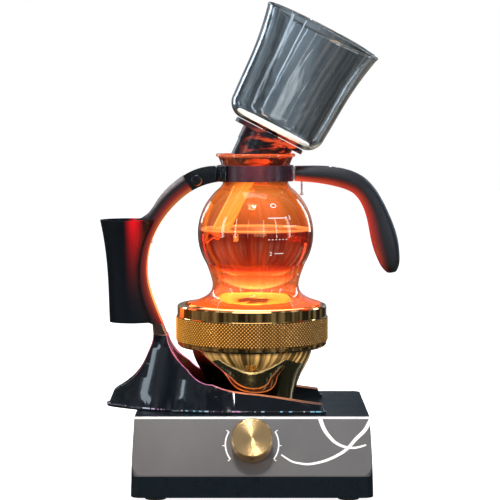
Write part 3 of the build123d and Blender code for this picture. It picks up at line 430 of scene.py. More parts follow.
def edge_black():
    """Rounded edge of the casting: black gloss with the lamp's pink and orange light on it."""
    look = finish("edge_black", (0.01, 0.01, 0.014), 0.12, Coat_Weight=1.0, Coat_Roughness=0.05)
    along = look.spread(look.axis("X"), -80 * MM, 30 * MM)
    colour = look.ramp(along, (0.0, (1.0, 0.16, 0.2)), (0.35, (0.75, 0.2, 0.5)),
                       (0.6, (1.0, 0.3, 0.14)), (1.0, (0.8, 0.28, 0.12)))
    broken = look.spread(look.noise(12 * MM), 0.35, 0.6, 0.35, 1.0)
    away = look.distance((0, 0, WINDOW_TOP))
    fade = look.spread(away, 60 * MM, 120 * MM, 1.3, 0.0, smooth=True)
    look.glow(colour, look.times(broken, fade))
    return look


def lip_black():
    """Rounded lip of the foot: black gloss with broken pink and pale blue glints in front."""
    look = finish("lip_black", (0.01, 0.012, 0.016), 0.1, Coat_Weight=1.0, Coat_Roughness=0.05)
    dash = look.spread(look.noise(5 * MM, 2.0, (1, 0.1, 0.1)), 0.52, 0.56)
    hue = look.noise(17 * MM, 1.0, (1, 0.1, 0.1))
    front = look.spread(look.axis("Y"), 0.0, -30 * MM)
    colour = look.ramp(hue, (0.4, (1.0, 0.3, 0.8)), (0.5, (0.8, 0.8, 1.0)), (0.6, (0.25, 0.7, 1.0)))
    look.glow(colour, look.times(dash, front, 0.7))
    return look


def copper_chrome():
    look = finish("copper_chrome", (0.78, 0.5, 0.42), 0.1, metal=1.0, tint=0.08)
    look.bump(look.noise(0.5 * MM, 2.0, (0.05, 0.05, 1)), 0.004 * MM)
    look.lit_by_globe(0.8, 50 * MM, 160 * MM)
    return look


def satin_black():
    """Painted arm: a lighter grey band along its outer edge, partly the cover strip's grey and partly painted
    highlight; the globe's light on its inner one.
    """
    black = (0.008, 0.008, 0.011)
    look = finish("satin_black", black, 0.36, bump=0.01 * MM, bump_size=0.4 * MM,
                  Specular_IOR_Level=0.35)
    away = look.distance(ARM_CENTRE, (1, 0, 1))
    outer = look.spread(away, ARM_OUTER_R - 5 * MM, ARM_OUTER_R - 1 * MM, smooth=True)
    above = look.spread(look.axis("Z"), HOLDER_HIGH.z, HOLDER_HIGH.z + 14 * MM)
    # lighter grey band: partly the cover strip's grey, partly a painted highlight on the rounded outer edge
    cover_grey_and_highlight = look.ramp(look.noise(3 * MM), (0.3, (0.2, 0.195, 0.22)), (0.7, (0.32, 0.31, 0.34)))
    look.set("Base Color", look.mix(look.times(outer, above), black, cover_grey_and_highlight))
    look.lit_inner_edge(2.3, 0.22)
    return look


def satin_grey():
    look = finish("satin_grey", (0.45, 0.44, 0.48), 0.28, metal=0.75, tint=0.12)
    look.bump(look.noise(0.4 * MM, 3.0, (1, 1, 0.1)), 0.005 * MM)
    look.lit_inner_edge(1.0, 0.15)
    return look


def matte_black():
    """Soft matte sleeve with the red light that comes through from the arm side."""
    look = finish("matte_black", (0.002, 0.004, 0.007), 0.46, bump=0.02 * MM, bump_size=0.35 * MM,
                  Specular_IOR_Level=0.14)
    stripe_x = HOLDER_LOW.x + 0.62 * (HOLDER_HIGH.x - HOLDER_LOW.x)
    across = look.math("ABSOLUTE", look.math("SUBTRACT", look.axis("X"), stripe_x))
    line = look.spread(across, 0.5 * MM, 8.5 * MM, 1.0, 0.0, smooth=True)
    height = look.spread(look.axis("Z"), HOLDER_LOW.z + 12 * MM, HOLDER_HIGH.z)
    fade = look.math("POWER", height, 1.6)
    outside = look.spread(look.math("ABSOLUTE", look.axis("Y")), 10 * MM, 15 * MM)
    look.glow(look.ramp(fade, (0.0, (0.25, 0.01, 0.01)), (1.0, (1.0, 0.004, 0.01))),
              look.times(line, fade, outside, 0.85))
    return look


def blown(look):
    """Gentle waviness and a breath of handling marks, as on mouth-blown glass."""
    look.bump(look.noise(22 * MM, 2.0), 0.5 * MM, 0.35)
    look.set("Roughness", look.spread(look.noise(9 * MM), 0.35, 0.75, 0.0, 0.05))
    return look


def bowl_glass():
    """Clear bowl whose stem has a painted orange glow where it hangs inside the glowing globe."""
    look = Look("bowl_glass", IOR=1.45, Transmission_Weight=1.0)
    cloud = look.noise(30 * MM)
    look.set("Base Color", look.ramp(cloud, (0.3, (0.78, 0.82, 0.85)), (0.7, (0.88, 0.91, 0.93))))
    away = look.distance(GLOBE_CENTRE)
    inside = look.spread(away, GLOBE_R - 12 * MM, GLOBE_R + 3 * MM, 1.0, 0.0)
    look.glow((1.0, 0.4, 0.07), look.times(inside, 0.36))
    return blown(look)


def globe_glass():
    """Clear globe full of warm steam light, orange above the water and redder below it."""
    look = Look("globe_glass", IOR=1.45, Transmission_Weight=1.0)
    sideways = look.node("ShaderNodeLayerWeight")
    sideways.inputs["Blend"].default_value = 0.4
    edge = look.math("ADD", sideways.outputs["Facing"], look.patchy(25 * MM, -0.05, 0.05))
    # the clear glass's orange tint is painted lamp light, deeper and redder towards the sides
    look.set("Base Color", look.ramp(edge, (0.1, (0.96, 0.56, 0.28)), (0.55, (0.85, 0.42, 0.3)),
                                     (0.9, (0.5, 0.2, 0.24))))
    height = look.spread(look.axis("Z"), GLOBE_LOW.z, GLOBE_HIGH.z)
    colour = look.ramp(height, (0.0, (1.0, 0.24, 0.03)), (0.2, (0.9, 0.08, 0.02)),
                       (0.44, (0.45, 0.05, 0.06)), (0.45, (1.0, 0.2, 0.03)),
                       (0.72, (1.0, 0.37, 0.05)), (0.85, (0.7, 0.05, 0.03)),
                       (1.0, (1.0, 0.17, 0.05)))
    power = look.levels(height, (0.0, 0.2), (0.2, 0.05), (0.44, 0.04), (0.46, 0.1), (0.72, 0.16),
                        (0.82, 0.02), (0.895, 0.16), (0.925, 0.02), (0.97, 0.015), (1.0, 0.5))
    rounded = look.spread(edge, 0.15, 0.75, 1.0, 0.22)
    look.glow(colour, look.times(power, rounded))
    return blown(look)


def foot_glass():
    """The server's glass foot, lit through from the lamp below."""
    look = Look("foot_glass", IOR=1.45, Transmission_Weight=1.0)
    cloud = look.noise(20 * MM)
    look.set("Base Color", look.ramp(cloud, (0.3, (0.92, 0.5, 0.34)), (0.7, (0.97, 0.58, 0.42))))
    low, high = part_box("glass_foot")
    height = look.spread(look.axis("Z"), low[2], high[2])
    colour = look.ramp(height, (0.0, (1.0, 0.16, 0.01)), (0.35, (1.0, 0.17, 0.05)),
                       (0.6, (1.0, 0.27, 0.06)), (1.0, (1.0, 0.12, 0.02)))
    look.glow(colour, look.levels(height, (0.0, 0.24), (0.3, 0.08), (0.55, 0.12), (1.0, 0.05)))
    return blown(look)


def water_look():
    """Water with the lamp's beam gathered into a bright spot at the bottom."""
    look = Look("water", IOR=1.33, Transmission_Weight=1.0, Roughness=0.0)
    sideways = look.node("ShaderNodeLayerWeight")
    sideways.inputs["Blend"].default_value = 0.35
    edge = look.math("ADD", sideways.outputs["Facing"], look.patchy(20 * MM, -0.06, 0.06))
    # the clear water's red tint is painted lamp light, darker towards the sides
    look.set("Base Color", look.ramp(edge, (0.1, (0.9, 0.26, 0.14)), (0.6, (0.34, 0.06, 0.08))))
    away = look.distance((GLOBE_CENTRE.x, 0.0, GLOBE_LOW.z), (0.75, 0.75, 1.0))
    near = look.spread(away, 2 * MM, 44 * MM, 1.0, 0.0, smooth=True)
    beam = look.ramp(near, (0.0, (0.4, 0.015, 0.03)), (0.1, (0.9, 0.07, 0.02)),
                     (0.24, (1.0, 0.24, 0.03)), (1.0, (1.0, 0.55, 0.12)))
    # painted bright line along the water's surface, brightest at the rim by the glass
    surface = look.spread(look.axis("Z"), WATER_LEVEL - 1.6 * MM, WATER_LEVEL, smooth=True)
    out = look.distance((GLOBE_CENTRE.x, 0, 0), (1, 1, 0))
    rim = look.spread(out, GLOBE_R - 6 * MM, GLOBE_R - 3 * MM)
    spot = look.spread(near, 0.08, 0.6, 0.05, 0.6)
    amount = look.math("ADD", spot, look.times(surface, 0.2))
    amount = look.math("ADD", amount, look.times(rim, surface, 1.1))
    look.glow(look.mix(surface, beam, (1.0, 0.45, 0.2)), amount)
    look.bump(look.noise(12 * MM, 2.0), 0.2 * MM, 0.4)
    return look


def soft_grip():
    """Soft-touch moulding, lit from below by the globe."""
    look = finish("soft_grip", (0.010, 0.011, 0.015), 0.46, bump=0.02 * MM, bump_size=0.3 * MM,
                  Coat_Weight=0.15, Coat_Roughness=0.3, Specular_IOR_Level=0.35)
    look.lit_by_globe(1.2, 50 * MM, 138 * MM, 1.3, hot=(1.0, 0.075, 0.03), cool=(0.9, 0.006, 0.01))
    return look


def stopper_rubber():
    """Black rubber with the red light of the neck running up it in streaks."""
    look = finish("stopper_rubber", (0.006, 0.005, 0.008), 0.3, bump=0.02 * MM, bump_size=0.5 * MM,
                  Specular_IOR_Level=0.25, Coat_Weight=0.2, Coat_Roughness=0.15)
    streak = look.spread(look.noise(9 * MM, 3.0, (0.25, 1, 1.6)), 0.46, 0.6, smooth=True)
    right = look.spread(look.axis("X"), GLOBE_CENTRE.x - 14 * MM, GLOBE_CENTRE.x + 14 * MM)
    fade = look.spread(look.distance(GLOBE_CENTRE), 62 * MM, 100 * MM, 1.0, 0.0)
    look.glow(look.ramp(streak, (0.0, (0.6, 0.01, 0.01)), (1.0, (1.0, 0.1, 0.02))),
              look.times(streak, right, fade, 1.6))
    return look


def filter_cloth():
    """Flannel: a plain weave under a short nap, with a faint patchy painted warm glow."""
    look = finish("filter_cloth", (0.84, 0.77, 0.64), 0.85, tint=0.05, grain=5 * MM,
                  Sheen_Weight=0.4)
    for stretch in ((1, 0.08, 1), (0.08, 1, 1)):
        look.bump(look.noise(0.7 * MM, 2.0, stretch), 0.12 * MM)
    look.glow((1.0, 0.86, 0.66), look.patchy(14 * MM, 0.02, 0.05))
    return look


def print_white():
    """Pad-printed marks, slightly uneven in the ink, with a faint patchy painted glow."""
    look = finish("print_white", (0.86, 0.86, 0.84), 0.5, tint=0.05, grain=1.5 * MM,
                  bump=0.01 * MM)
    look.glow((1.0, 0.96, 0.92), look.patchy(2 * MM, 0.1, 0.2))
    return look


SLOT_LOOKS = (case_black, panel_grey, trim_silver, rubber, steel, gland_nylon, board_green,
              component_plastic, heat_sink, lead_insulation, gold_mirror, ceramic, lamp_glass,
              reflector, lamp_window, brass, knob_brass, gloss_black, copper_chrome, satin_black,
              satin_grey, matte_black, soft_grip, stopper_rubber, filter_cloth)
NODE_LOOKS = {"globe": globe_glass, "glass_foot": foot_glass, "upper_bowl": bowl_glass,
              "neck_collar": collar_black}


def dress_cad():
    """Gives every CAD part the look of its slot, or its own look where it has one."""
    by_slot = {make.__name__: make().material for make in SLOT_LOOKS}
    for part in frame["record"]["subparts"]:
        node = part["node"]
        own_look = NODE_LOOKS.get(node)
        material = own_look().material if own_look else by_slot[part["material_slot"]]
        mesh = frame["nodes"][node].data
        mesh.materials.clear()
        mesh.materials.append(material)


# width of the rounded edges of each part, in mm
SOFT_EDGED = {"stand_foot": 0.8, "collar_bracket": 0.6, "stand_arm": 0.5, "arm_cover": 0.4}
SOFTEN_ABOVE_DEG = 32
WELD_DISTANCE = 0.002 * MM


def soften_edges():
    """Small rounded edges on the cast and moulded parts, so that they catch the light."""
    for node, width in SOFT_EDGED.items():
        item = frame["nodes"][node]
        weld = item.modifiers.new("weld", "WELD")
        weld.merge_threshold = WELD_DISTANCE
        bevel = item.modifiers.new("soft_edge", "BEVEL")
        bevel.width = width * MM
        bevel.segments = 2
        bevel.limit_method = "ANGLE"
        bevel.angle_limit = radians(SOFTEN_ABOVE_DEG)
        bevel.harden_normals = True


# ---------------------------------------------------------------- mesh pieces
def grid_faces(rows, around, base=0):
    """Faces between rows of points that each go once round."""
    faces = []
    for row in range(rows):
        for i in range(around):
            j = (i + 1) % around
            a, b = base + row * around, base + (row + 1) * around
            faces.append((a + i, a + j, b + j, b + i))
    return faces


def strip_faces(count, base):
    """Sides and ends of a strip that has four corners at each of its points."""
    faces = []
    for i in range(count - 1):
        a = base + 4 * i
        for k in range(4):
            faces.append((a + k, a + (k + 1) % 4, a + 4 + (k + 1) % 4, a + 4 + k))
    for a in (base, base + 4 * (count - 1)):
        faces.append(tuple(a + k for k in range(4)))
    return faces


def piece(name, verts, faces, material, body, smooth=True):
    """A new mesh that rides a body and belongs to a material slot."""
    mesh = bpy.data.meshes.new(name)
    mesh.from_pydata([tuple(v) for v in verts], [], faces)
    shape = bmesh.new()
    shape.from_mesh(mesh)
    bmesh.ops.remove_doubles(shape, verts=shape.verts, dist=1e-7)
    bmesh.ops.recalc_face_normals(shape, faces=shape.faces)
    shape.to_mesh(mesh)
    shape.free()
    mesh.shade_smooth() if smooth else mesh.shade_flat()
    mesh.materials.append(material)
    item = bpy.data.objects.new(name, mesh)
    bpy.context.scene.collection.objects.link(item)
    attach(item, body)
    return item


def revolved(name, profile, centre_x, material, body, steps=128):
    """Closed solid of revolution; the profile runs from the axis to the axis."""
    verts = []
    for radius, z in profile:
        for i in range(steps):
            turn = tau * i / steps
            verts.append((centre_x + radius * cos(turn), radius * sin(turn), z))
    return piece(name, verts, grid_faces(len(profile) - 1, steps), material, body)


WATER_GAP = 0.25 * MM
MENISCUS = 1.1 * MM
ON_AXIS = 0.01 * MM


def water():
    """Water filling the globe up to its level, with a meniscus climbing the glass."""
    radius = GLOBE_R - GLASS_WALL - WATER_GAP
    top = WATER_LEVEL + MENISCUS - GLOBE_CENTRE.z
    start = -pi / 2
    end = atan2(top, sqrt(radius ** 2 - top ** 2))
    rows = 40
    profile = []
    for i in range(rows + 1):
        angle = start + (end - start) * i / rows
        profile.append((max(radius * cos(angle), ON_AXIS), GLOBE_CENTRE.z + radius * sin(angle)))
    edge = profile[-1][0]
    for reach in (0.6, 1.4, 2.6, 4.5, 9.0):
        profile.append((edge - reach * MM, WATER_LEVEL + MENISCUS * 0.4 ** reach))
    profile.append((edge * 0.5, WATER_LEVEL))
    profile.append((ON_AXIS, WATER_LEVEL))
    return revolved("water", profile, GLOBE_CENTRE.x, water_look().material, "server")


KNURL_COUNT = 132
KNURL_ROWS = 7
KNURL_STEPS = 6
KNURL_START = 4.1 * MM
KNURL_HEIGHT = 20.6 * MM
KNURL_ROOT = 0.15 * MM


def ring_knurl():
    """Band of four-sided knurl points standing on the retaining ring."""
    ring_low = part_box("knurled_ring")[0]
    base = RING_R - KNURL_ROOT
    low = ring_low[2] + KNURL_START
    high = low + KNURL_HEIGHT
    around = KNURL_COUNT * KNURL_STEPS
    rows = KNURL_ROWS * KNURL_STEPS
    verts = []
    for row in range(rows + 1):
        for i in range(around):
            first = i / KNURL_STEPS + row / KNURL_STEPS
            second = i / KNURL_STEPS - row / KNURL_STEPS
            valley = max(abs(2 * (value % 1.0) - 1) for value in (first, second))
            edge = min(row, rows - row, 2) / 2
            radius = base + KNURL_DEPTH * (1 - valley) * edge
            turn = tau * i / around
            verts.append((radius * cos(turn), radius * sin(turn), low + (high - low) * row / rows))
    return piece("ring_knurl", verts, grid_faces(rows, around), knurl_brass().material,
                 "retaining_ring", smooth=False)


CREASE_DEG = 35
EDGE_WIRE_R = 0.38 * MM
EDGE_SHORTEST = 20 * MM
LIP_LOW = 0.4 * MM
LIP_TOP = 4 * MM


def sharp_lines(node, angle, lowest, highest):
    """Chains of points along the node's sharp edges between two heights."""
    shape = bmesh.new()
    shape.from_mesh(frame["nodes"][node].data)
    bmesh.ops.remove_doubles(shape, verts=shape.verts, dist=WELD_DISTANCE)
    edges = {edge for edge in shape.edges if len(edge.link_faces) == 2
             and edge.calc_face_angle() > angle
             and all(lowest < vert.co.z < highest for vert in edge.verts)}
    chains = []
    while edges:
        # the highest edge first; its place settles ties, so every run gives the same chains
        first = max(edges, key=lambda edge: (edge.verts[0].co.z, edge.verts[0].co.y,
                                             *edge.verts[0].co, *edge.verts[1].co))
        edges.discard(first)
        chain = [first.verts[0], first.verts[1]]
        for end in (1, 0):
            while True:
                tip = chain[-1] if end else chain[0]
                onward = sorted((e for e in tip.link_edges if e in edges), key=lambda e: e.index)
                if not onward:
                    break
                edges.discard(onward[0])
                other = onward[0].other_vert(tip)
                chain.append(other) if end else chain.insert(0, other)
        chains.append([vert.co.copy() for vert in chain])
    shape.free()
    return chains


def foot_edge(name, above, below, material):
    """Rounded edges of the foot's casting between two heights, which show as fine lines of painted highlight."""
    wire = bpy.data.curves.new(name, "CURVE")
    wire.dimensions = "3D"
    wire.bevel_depth = EDGE_WIRE_R
    wire.bevel_resolution = 2
    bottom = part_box("stand_foot")[0][2]
    for chain in sharp_lines("stand_foot", radians(CREASE_DEG), bottom + above, bottom + below):
        if sum((b - a).length for a, b in zip(chain, chain[1:])) < EDGE_SHORTEST:
            continue
        spline = wire.splines.new("POLY")
        spline.points.add(len(chain) - 1)
        for point, place in zip(spline.points, chain):
            point.co = (*place, 1.0)
    holder = bpy.data.objects.new(name + "_wire", wire)
    mesh = bpy.data.meshes.new_from_object(holder)
    bpy.data.objects.remove(holder)
    verts = [vert.co for vert in mesh.vertices]
    faces = [tuple(polygon.vertices) for polygon in mesh.polygons]
    return piece(name, verts, faces, material, "stand")


# ---------------------------------------------------------------- marks on the panel
PANEL_OUT = Vector(JOINTS["knob_turn"]["axis"])
PANEL_UP = Vector((0.0, PANEL_OUT.z, -PANEL_OUT.y))
PANEL_MIDDLE = Vector(JOINTS["knob_turn"]["pos_m"])
INK = 0.12 * MM


def on_panel(right, up, proud=0.0):
    """Point on the panel, in millimetres from the knob's axis."""
    return PANEL_MIDDLE + Vector((right * MM, 0, 0)) + PANEL_UP * up * MM + PANEL_OUT * proud


def smooth_line(points, steps=10):
    """Catmull-Rom line through the points."""
    padded = [points[0], *points, points[-1]]
    line = []
    for k in range(1, len(padded) - 2):
        p0, p1, p2, p3 = (Vector(p) for p in padded[k - 1:k + 3])
        for i in range(steps):
            t = i / steps
            line.append(0.5 * (2 * p1 + (p2 - p0) * t + (2 * p0 - 5 * p1 + 4 * p2 - p3) * t ** 2
                               + (3 * p1 - p0 - 3 * p2 + p3) * t ** 3))
    line.append(Vector(points[-1]))
    return line


def ribbons(name, lines, material):
    """Thin printed strips on the panel; each line is its points and a width at each end, in mm."""
    verts, faces = [], []
    for points, width_start, width_end in lines:
        count = len(points)
        base = len(verts)
        for i, point in enumerate(points):
            ahead = points[min(i + 1, count - 1)] - points[max(i - 1, 0)]
            side = Vector((-ahead.y, ahead.x)).normalized()
            share = i / (count - 1)
            half = (width_start + (width_end - width_start) * share) / 2
            for sign, proud in ((1, -INK), (1, INK), (-1, INK), (-1, -INK)):
                place = point + side * half * sign
                verts.append(on_panel(place.x, place.y, proud))
        faces += strip_faces(count, base)
    return piece(name, verts, faces, material, "heater", smooth=False)


# the scale beside the knob, in mm and degrees
SCALE_R = 21.0
SCALE_START_DEG = -36
SCALE_SWEEP_DEG = 66
SCALE_WIDTH = 1.1
SCALE_STEPS = 24
TICKS = 3
TICK_START, TICK_END = 0.3, 2.4
TICK_WIDTH = 0.6


def dial_scale(material):
    """Two plain arcs beside the knob with short division ticks."""
    lines = []
    for side in (1, -1):
        arc = []
        for i in range(SCALE_STEPS + 1):
            angle = radians(SCALE_START_DEG + SCALE_SWEEP_DEG * i / SCALE_STEPS)
            arc.append(Vector((side * SCALE_R * cos(angle), SCALE_R * sin(angle))))
        lines.append((arc, SCALE_WIDTH, SCALE_WIDTH))
        for k in range(TICKS):
            angle = radians(SCALE_START_DEG + SCALE_SWEEP_DEG * k / (TICKS - 1))
            heading = Vector((side * cos(angle), sin(angle)))
            tick = [heading * (SCALE_R + TICK_START), heading * (SCALE_R + TICK_END)]
            lines.append((tick, TICK_WIDTH, TICK_WIDTH))
    return ribbons("dial_scale", lines, material)


def swooshes(material):
    """The two plain tapering curves on the right of the panel."""
    first = [(53.9, 21.6), (56.9, 12.7), (61.2, 6.1), (66.1, 1.1), (73.1, -2.2), (81.0, -2.9),
             (89.7, -0.6)]
    second = [(94.6, 21.6), (89.2, 11.9), (81.9, 4.4), (75.4, -3.1), (68.2, -8.5), (57.9, -13.4),
              (45.8, -16.3), (37.5, -15.8), (30.5, -13.8), (22.9, -8.6)]
    lines = [(smooth_line(first), 3.3, 1.3), (smooth_line(second), 3.1, 1.1)]
    return ribbons("panel_curves", lines, material)


# ---------------------------------------------------------------- marks on the globe
# how far the inner and outer face of a printed line stand off the glass, in mm
PRINT_INNER, PRINT_OUTER = 0.02, 0.14
LINE_WIDTH = 0.55
DIGIT_SIZE = 4.6 * MM


def on_globe(right, up, proud):
    """Point on the front of the globe; right and up are arc lengths from its centre, in metres."""
    turn, lift = right / GLOBE_R, up / GLOBE_R
    radius = GLOBE_R + proud
    return GLOBE_CENTRE + Vector((radius * sin(turn) * cos(lift), -radius * cos(turn) * cos(lift),
                                  radius * sin(lift)))


def bent_text(name, text, size, right, up, material):
    """Digits printed on the globe."""
    words = bpy.data.curves.new(name, "FONT")
    words.body = text
    words.size = size
    words.extrude = 0.05 * MM
    words.resolution_u = 3
    holder = bpy.data.objects.new(name, words)
    mesh = bpy.data.meshes.new_from_object(holder)
    verts = [on_globe(right + v.co.x, up + v.co.y, 0.12 * MM + v.co.z) for v in mesh.vertices]
    faces = [tuple(polygon.vertices) for polygon in mesh.polygons]
    bpy.data.objects.remove(holder)
    return piece(name, verts, faces, material, "server", smooth=False)


def printed_lines(name, lines, width, material):
    """Printed strokes on the globe; each is a list of (right, up) points in millimetres."""
    verts, faces = [], []
    for points in lines:
        base = len(verts)
        count = len(points)
        for i, (right, up) in enumerate(points):
            after, before = points[min(i + 1, count - 1)], points[max(i - 1, 0)]
            side = Vector((before[1] - after[1], after[0] - before[0])).normalized() * width / 2
            for sign, proud in ((-1, PRINT_INNER), (1, PRINT_INNER),
                                (1, PRINT_OUTER), (-1, PRINT_OUTER)):
                verts.append(on_globe((right + sign * side.x) * MM, (up + sign * side.y) * MM,
                                      proud * MM))
        faces += strip_faces(count, base)
    return piece(name, verts, faces, material, "server", smooth=False)


def level_line(start, end, up):
    """Level stroke from start to end, in enough steps to follow the glass."""
    steps = 10
    return [(start + (end - start) * i / steps, up) for i in range(steps + 1)]


def globe_marks(material):
    """Plain cup marks: a line and number at two levels, a row of ticks and a small oval."""
    oval = [(16.5 + 2.6 * cos(tau * i / 28), 25.5 + 1.6 * sin(tau * i / 28)) for i in range(29)]
    ticks = [level_line(24.0 + 2.2 * k, 25.3 + 2.2 * k, 8.0) for k in range(6)]
    low_ticks = [level_line(10.0 + 3.0 * k, 11.2 + 3.0 * k, -2.5) for k in range(6)]
    lines = [oval, level_line(10.5, 27.0, 14.8), *ticks, *low_ticks, level_line(16.0, 24.0, -14.0)]
    printed_lines("cup_marks", lines, LINE_WIDTH, material)
    bent_text("cup_number_high", "3", DIGIT_SIZE, 29.0 * MM, 13.4 * MM, material)
    bent_text("cup_number_low", "2", DIGIT_SIZE, 11.5 * MM, -15.6 * MM, material)


# ---------------------------------------------------------------- marks on the handle
# each stud's place along the handle and its drop below the handle's top, in mm
STUDS = ((64.0, 0.9), (69.0, 1.9), (74.0, 3.2))
STUD_Y = -2.5 * MM
STUD_R = 1.25 * MM
STUD_RISE = 0.9 * MM
STUD_SUNK = 0.5 * MM


def handle_studs(material):
    """Three small domed studs along the top of the handle."""
    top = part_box("handle")[1][2]
    verts, faces = [], []
    rings, around = 5, 14
    for x, drop in STUDS:
        base = len(verts)
        for ring in range(rings + 1):
            lift = pi / 2 * ring / rings
            for i in range(around):
                turn = tau * i / around
                radius = STUD_R * cos(lift)
                verts.append((x * MM + radius * cos(turn), STUD_Y + radius * sin(turn),
                              top - drop * MM + STUD_RISE * sin(lift) - STUD_SUNK))
        faces += grid_faces(rings, around, base)
    return piece("handle_studs", verts, faces, material, "server")


# ---------------------------------------------------------------- surroundings
def stage_floor():
    """White floor that the camera sees and that neither lights nor reflects in the brewer."""
    size = 6.0
    corners = [(-size, -size, 0), (size, -size, 0), (size, size, 0), (-size, size, 0)]
    mesh = bpy.data.meshes.new("floor")
    mesh.from_pydata(corners, [], [(0, 1, 2, 3)])
    floor = bpy.data.objects.new("floor", mesh)
    bpy.context.scene.collection.objects.link(floor)
    look = finish("floor", (0.86, 0.86, 0.86), 0.8, tint=0.01, grain=0.4)
    look.glow((1.0, 1.0, 1.0), 0.9)
    mesh.materials.append(look.material)
    floor.visible_glossy = False
    floor.visible_transmission = False
    floor.visible_diffuse = False


# noise range of the bars, and how dark and how bright it makes them
BARS = (0.44, 0.62, 0.3, 3.4)
# the room's colour from straight down to straight up
ROOM = ((0.0, (0.05, 0.04, 0.03)), (0.3, (0.30, 0.26, 0.20)), (0.42, (0.05, 0.045, 0.04)),
        (0.5, (0.09, 0.11, 0.125)), (0.58, (0.19, 0.22, 0.25)), (0.7, (0.08, 0.095, 0.11)),
        (1.0, (0.3, 0.32, 0.35)))


def streaked(tree, heading, colour):
    """The room's colour broken by upright light and dark bars, as stands and doorways would."""
    flat = tree.nodes.new("ShaderNodeVectorMath")
    flat.operation = "MULTIPLY"
    flat.inputs[1].default_value = (1, 1, 0)
    tree.links.new(heading, flat.inputs[0])
    around = tree.nodes.new("ShaderNodeVectorMath")
    around.operation = "NORMALIZE"
    tree.links.new(flat.outputs[0], around.inputs[0])
    bars = tree.nodes.new("ShaderNodeTexNoise")
    bars.inputs["Scale"].default_value = 4.5
    bars.inputs["Detail"].default_value = 4.0
    tree.links.new(around.outputs[0], bars.inputs["Vector"])
    gain = tree.nodes.new("ShaderNodeMapRange")
    for socket, value in zip(gain.inputs[1:5], BARS):
        socket.default_value = value
    tree.links.new(bars.outputs["Fac"], gain.inputs[0])
    scaled = tree.nodes.new("ShaderNodeVectorMath")
    scaled.operation = "SCALE"
    tree.links.new(colour, scaled.inputs[0])
    tree.links.new(gain.outputs[0], scaled.inputs["Scale"])
    return scaled.outputs[0]


def surroundings():
    """White behind the object, and a dim studio round it for glass and metal to reflect."""
    world = bpy.data.worlds.new("studio")
    bpy.context.scene.world = world
    world.use_nodes = True
    tree = world.node_tree
    tree.nodes.clear()
    output = tree.nodes.new("ShaderNodeOutputWorld")
    mix = tree.nodes.new("ShaderNodeMixShader")
    path = tree.nodes.new("ShaderNodeLightPath")
    white = tree.nodes.new("ShaderNodeBackground")
    room = tree.nodes.new("ShaderNodeBackground")
    ramp = tree.nodes.new("ShaderNodeValToRGB")
    split = tree.nodes.new("ShaderNodeSeparateXYZ")
    place = tree.nodes.new("ShaderNodeTexCoord")
    tree.links.new(place.outputs["Generated"], split.inputs[0])
    remap = tree.nodes.new("ShaderNodeMapRange")
    remap.inputs[1].default_value = -1.0
    tree.links.new(split.outputs["Z"], remap.inputs[0])
    tree.links.new(remap.outputs[0], ramp.inputs[0])
    fill_ramp(ramp, ROOM)
    bars = streaked(tree, place.outputs["Generated"], ramp.outputs[0])
    tree.links.new(bars, room.inputs["Color"])
    white.inputs["Color"].default_value = (1, 1, 1, 1)
    tree.links.new(path.outputs["Is Camera Ray"], mix.inputs[0])
    tree.links.new(room.outputs[0], mix.inputs[1])
    tree.links.new(white.outputs[0], mix.inputs[2])
    tree.links.new(mix.outputs[0], output.inputs["Surface"])


def area_light(name, place, target, width, height, watts, colour):
    light = bpy.data.lights.new(name, "AREA")
    light.shape = "RECTANGLE"
    light.size = width
    light.size_y = height
    light.energy = watts
    light.color = colour
    lamp = bpy.data.objects.new(name, light)
    bpy.context.scene.collection.objects.link(lamp)
    lamp.location = place
    lamp.rotation_euler = (Vector(target) - Vector(place)).to_track_quat("-Z", "Y").to_euler()
    lamp.visible_camera = False
    return lamp


WHITE = (1.0, 0.98, 0.95)
COOL = (0.75, 0.88, 1.0)
WARM = (1.0, 0.55, 0.25)
MIDDLE = (0.0, 0.0, 0.18)
LOW = (0.0, 0.0, 0.12)
# name, place, what it points at, width, height, watts, colour, whether reflections show it
AREA_LIGHTS = (
    ("key", (-0.15, -0.75, 1.35), MIDDLE, 0.3, 0.3, 14.0, WHITE, False),
    ("front", (0.25, -1.5, 0.35), MIDDLE, 0.7, 0.5, 4.0, WHITE, False),
    ("overhead", (0.0, 0.1, 1.3), MIDDLE, 0.7, 0.7, 5.0, WHITE, True),
    ("broad_card", (0.1, -1.5, 0.55), MIDDLE, 1.3, 0.7, 1.0, WHITE, True),
    ("upper_card", (-0.06, -0.73, 1.28), MIDDLE, 0.1, 0.1, 2.4, WHITE, True),
    ("back_left", (-0.6, 0.8, 0.6), MIDDLE, 0.12, 0.7, 1.6, COOL, True),
    ("back_right", (0.7, 0.75, 0.5), MIDDLE, 0.12, 0.7, 1.6, COOL, True),
    ("warm_left", (-0.5, -0.6, 0.12), LOW, 0.15, 0.2, 1.6, WARM, False),
)
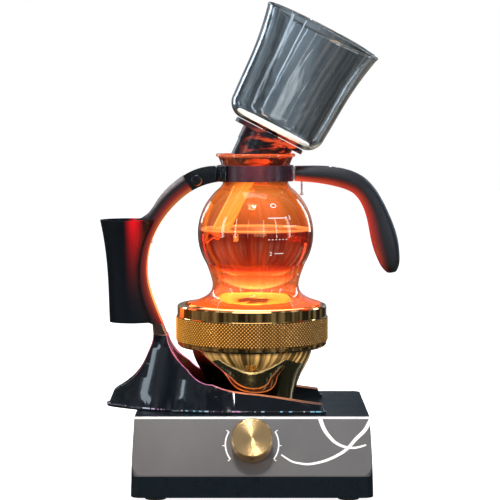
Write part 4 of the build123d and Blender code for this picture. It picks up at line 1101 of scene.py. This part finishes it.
# studio strips round the front: degrees from straight ahead, width, watts, colour
STRIPS = ((-68, 0.10, 1.6, COOL), (-40, 0.04, 0.9, COOL), (-15, 0.02, 0.15, WHITE),
          (16, 0.03, 0.45, WHITE), (42, 0.04, 0.8, COOL), (70, 0.10, 1.6, COOL))
STRIP_AWAY = 1.1
STRIP_Z = 0.42
STRIP_LENGTH = 0.7


def lights():
    """Studio lights round the brewer, and the lamp's own glow inside the globe."""
    for name, place, target, width, height, watts, colour, reflected in AREA_LIGHTS:
        lamp = area_light(name, place, target, width, height, watts, colour)
        lamp.visible_glossy = reflected
    for turn, width, watts, colour in STRIPS:
        angle = radians(turn)
        place = (STRIP_AWAY * sin(angle), -STRIP_AWAY * cos(angle), STRIP_Z)
        area_light(f"strip_{turn}", place, MIDDLE, width, STRIP_LENGTH, watts, colour)
    glow = bpy.data.lights.new("globe_glow", "POINT")
    glow.energy = 1.1
    glow.color = (1.0, 0.28, 0.08)
    glow.shadow_soft_size = 0.03
    lamp = bpy.data.objects.new("globe_glow", glow)
    bpy.context.scene.collection.objects.link(lamp)
    lamp.location = GLOBE_CENTRE
    lamp.visible_camera = lamp.visible_transmission = lamp.visible_glossy = False
    for node in ("globe", "glass_foot", "upper_bowl"):
        frame["nodes"][node].visible_shadow = False


CAMERA_X = -1.6 * MM
CAMERA_DISTANCE = 1.4
CAMERA_HEIGHT = 293.8 * MM
CAMERA_PITCH_DEG = 4.2
CAMERA_LENS = 122.9


def camera():
    lens = bpy.data.cameras.new("camera")
    lens.lens = CAMERA_LENS
    lens.sensor_width = 36.0
    lens.dof.use_dof = False
    view = bpy.data.objects.new("camera", lens)
    bpy.context.scene.collection.objects.link(view)
    view.location = (CAMERA_X, -CAMERA_DISTANCE, CAMERA_HEIGHT)
    view.rotation_euler = (radians(90 - CAMERA_PITCH_DEG), 0, 0)
    bpy.context.scene.camera = view


camera()
dress_cad()
soften_edges()
ink = print_white().material
pool = water()
pool.visible_shadow = False
ring_knurl()
foot_edge("foot_edge", LIP_TOP, inf, edge_black().material)
foot_edge("foot_lip", LIP_LOW, LIP_TOP, lip_black().material)
dial_scale(ink)
swooshes(ink)
globe_marks(ink)
handle_studs(ink)
stage_floor()
surroundings()
lights()
bpy.context.scene.view_settings.view_transform = "Standard"
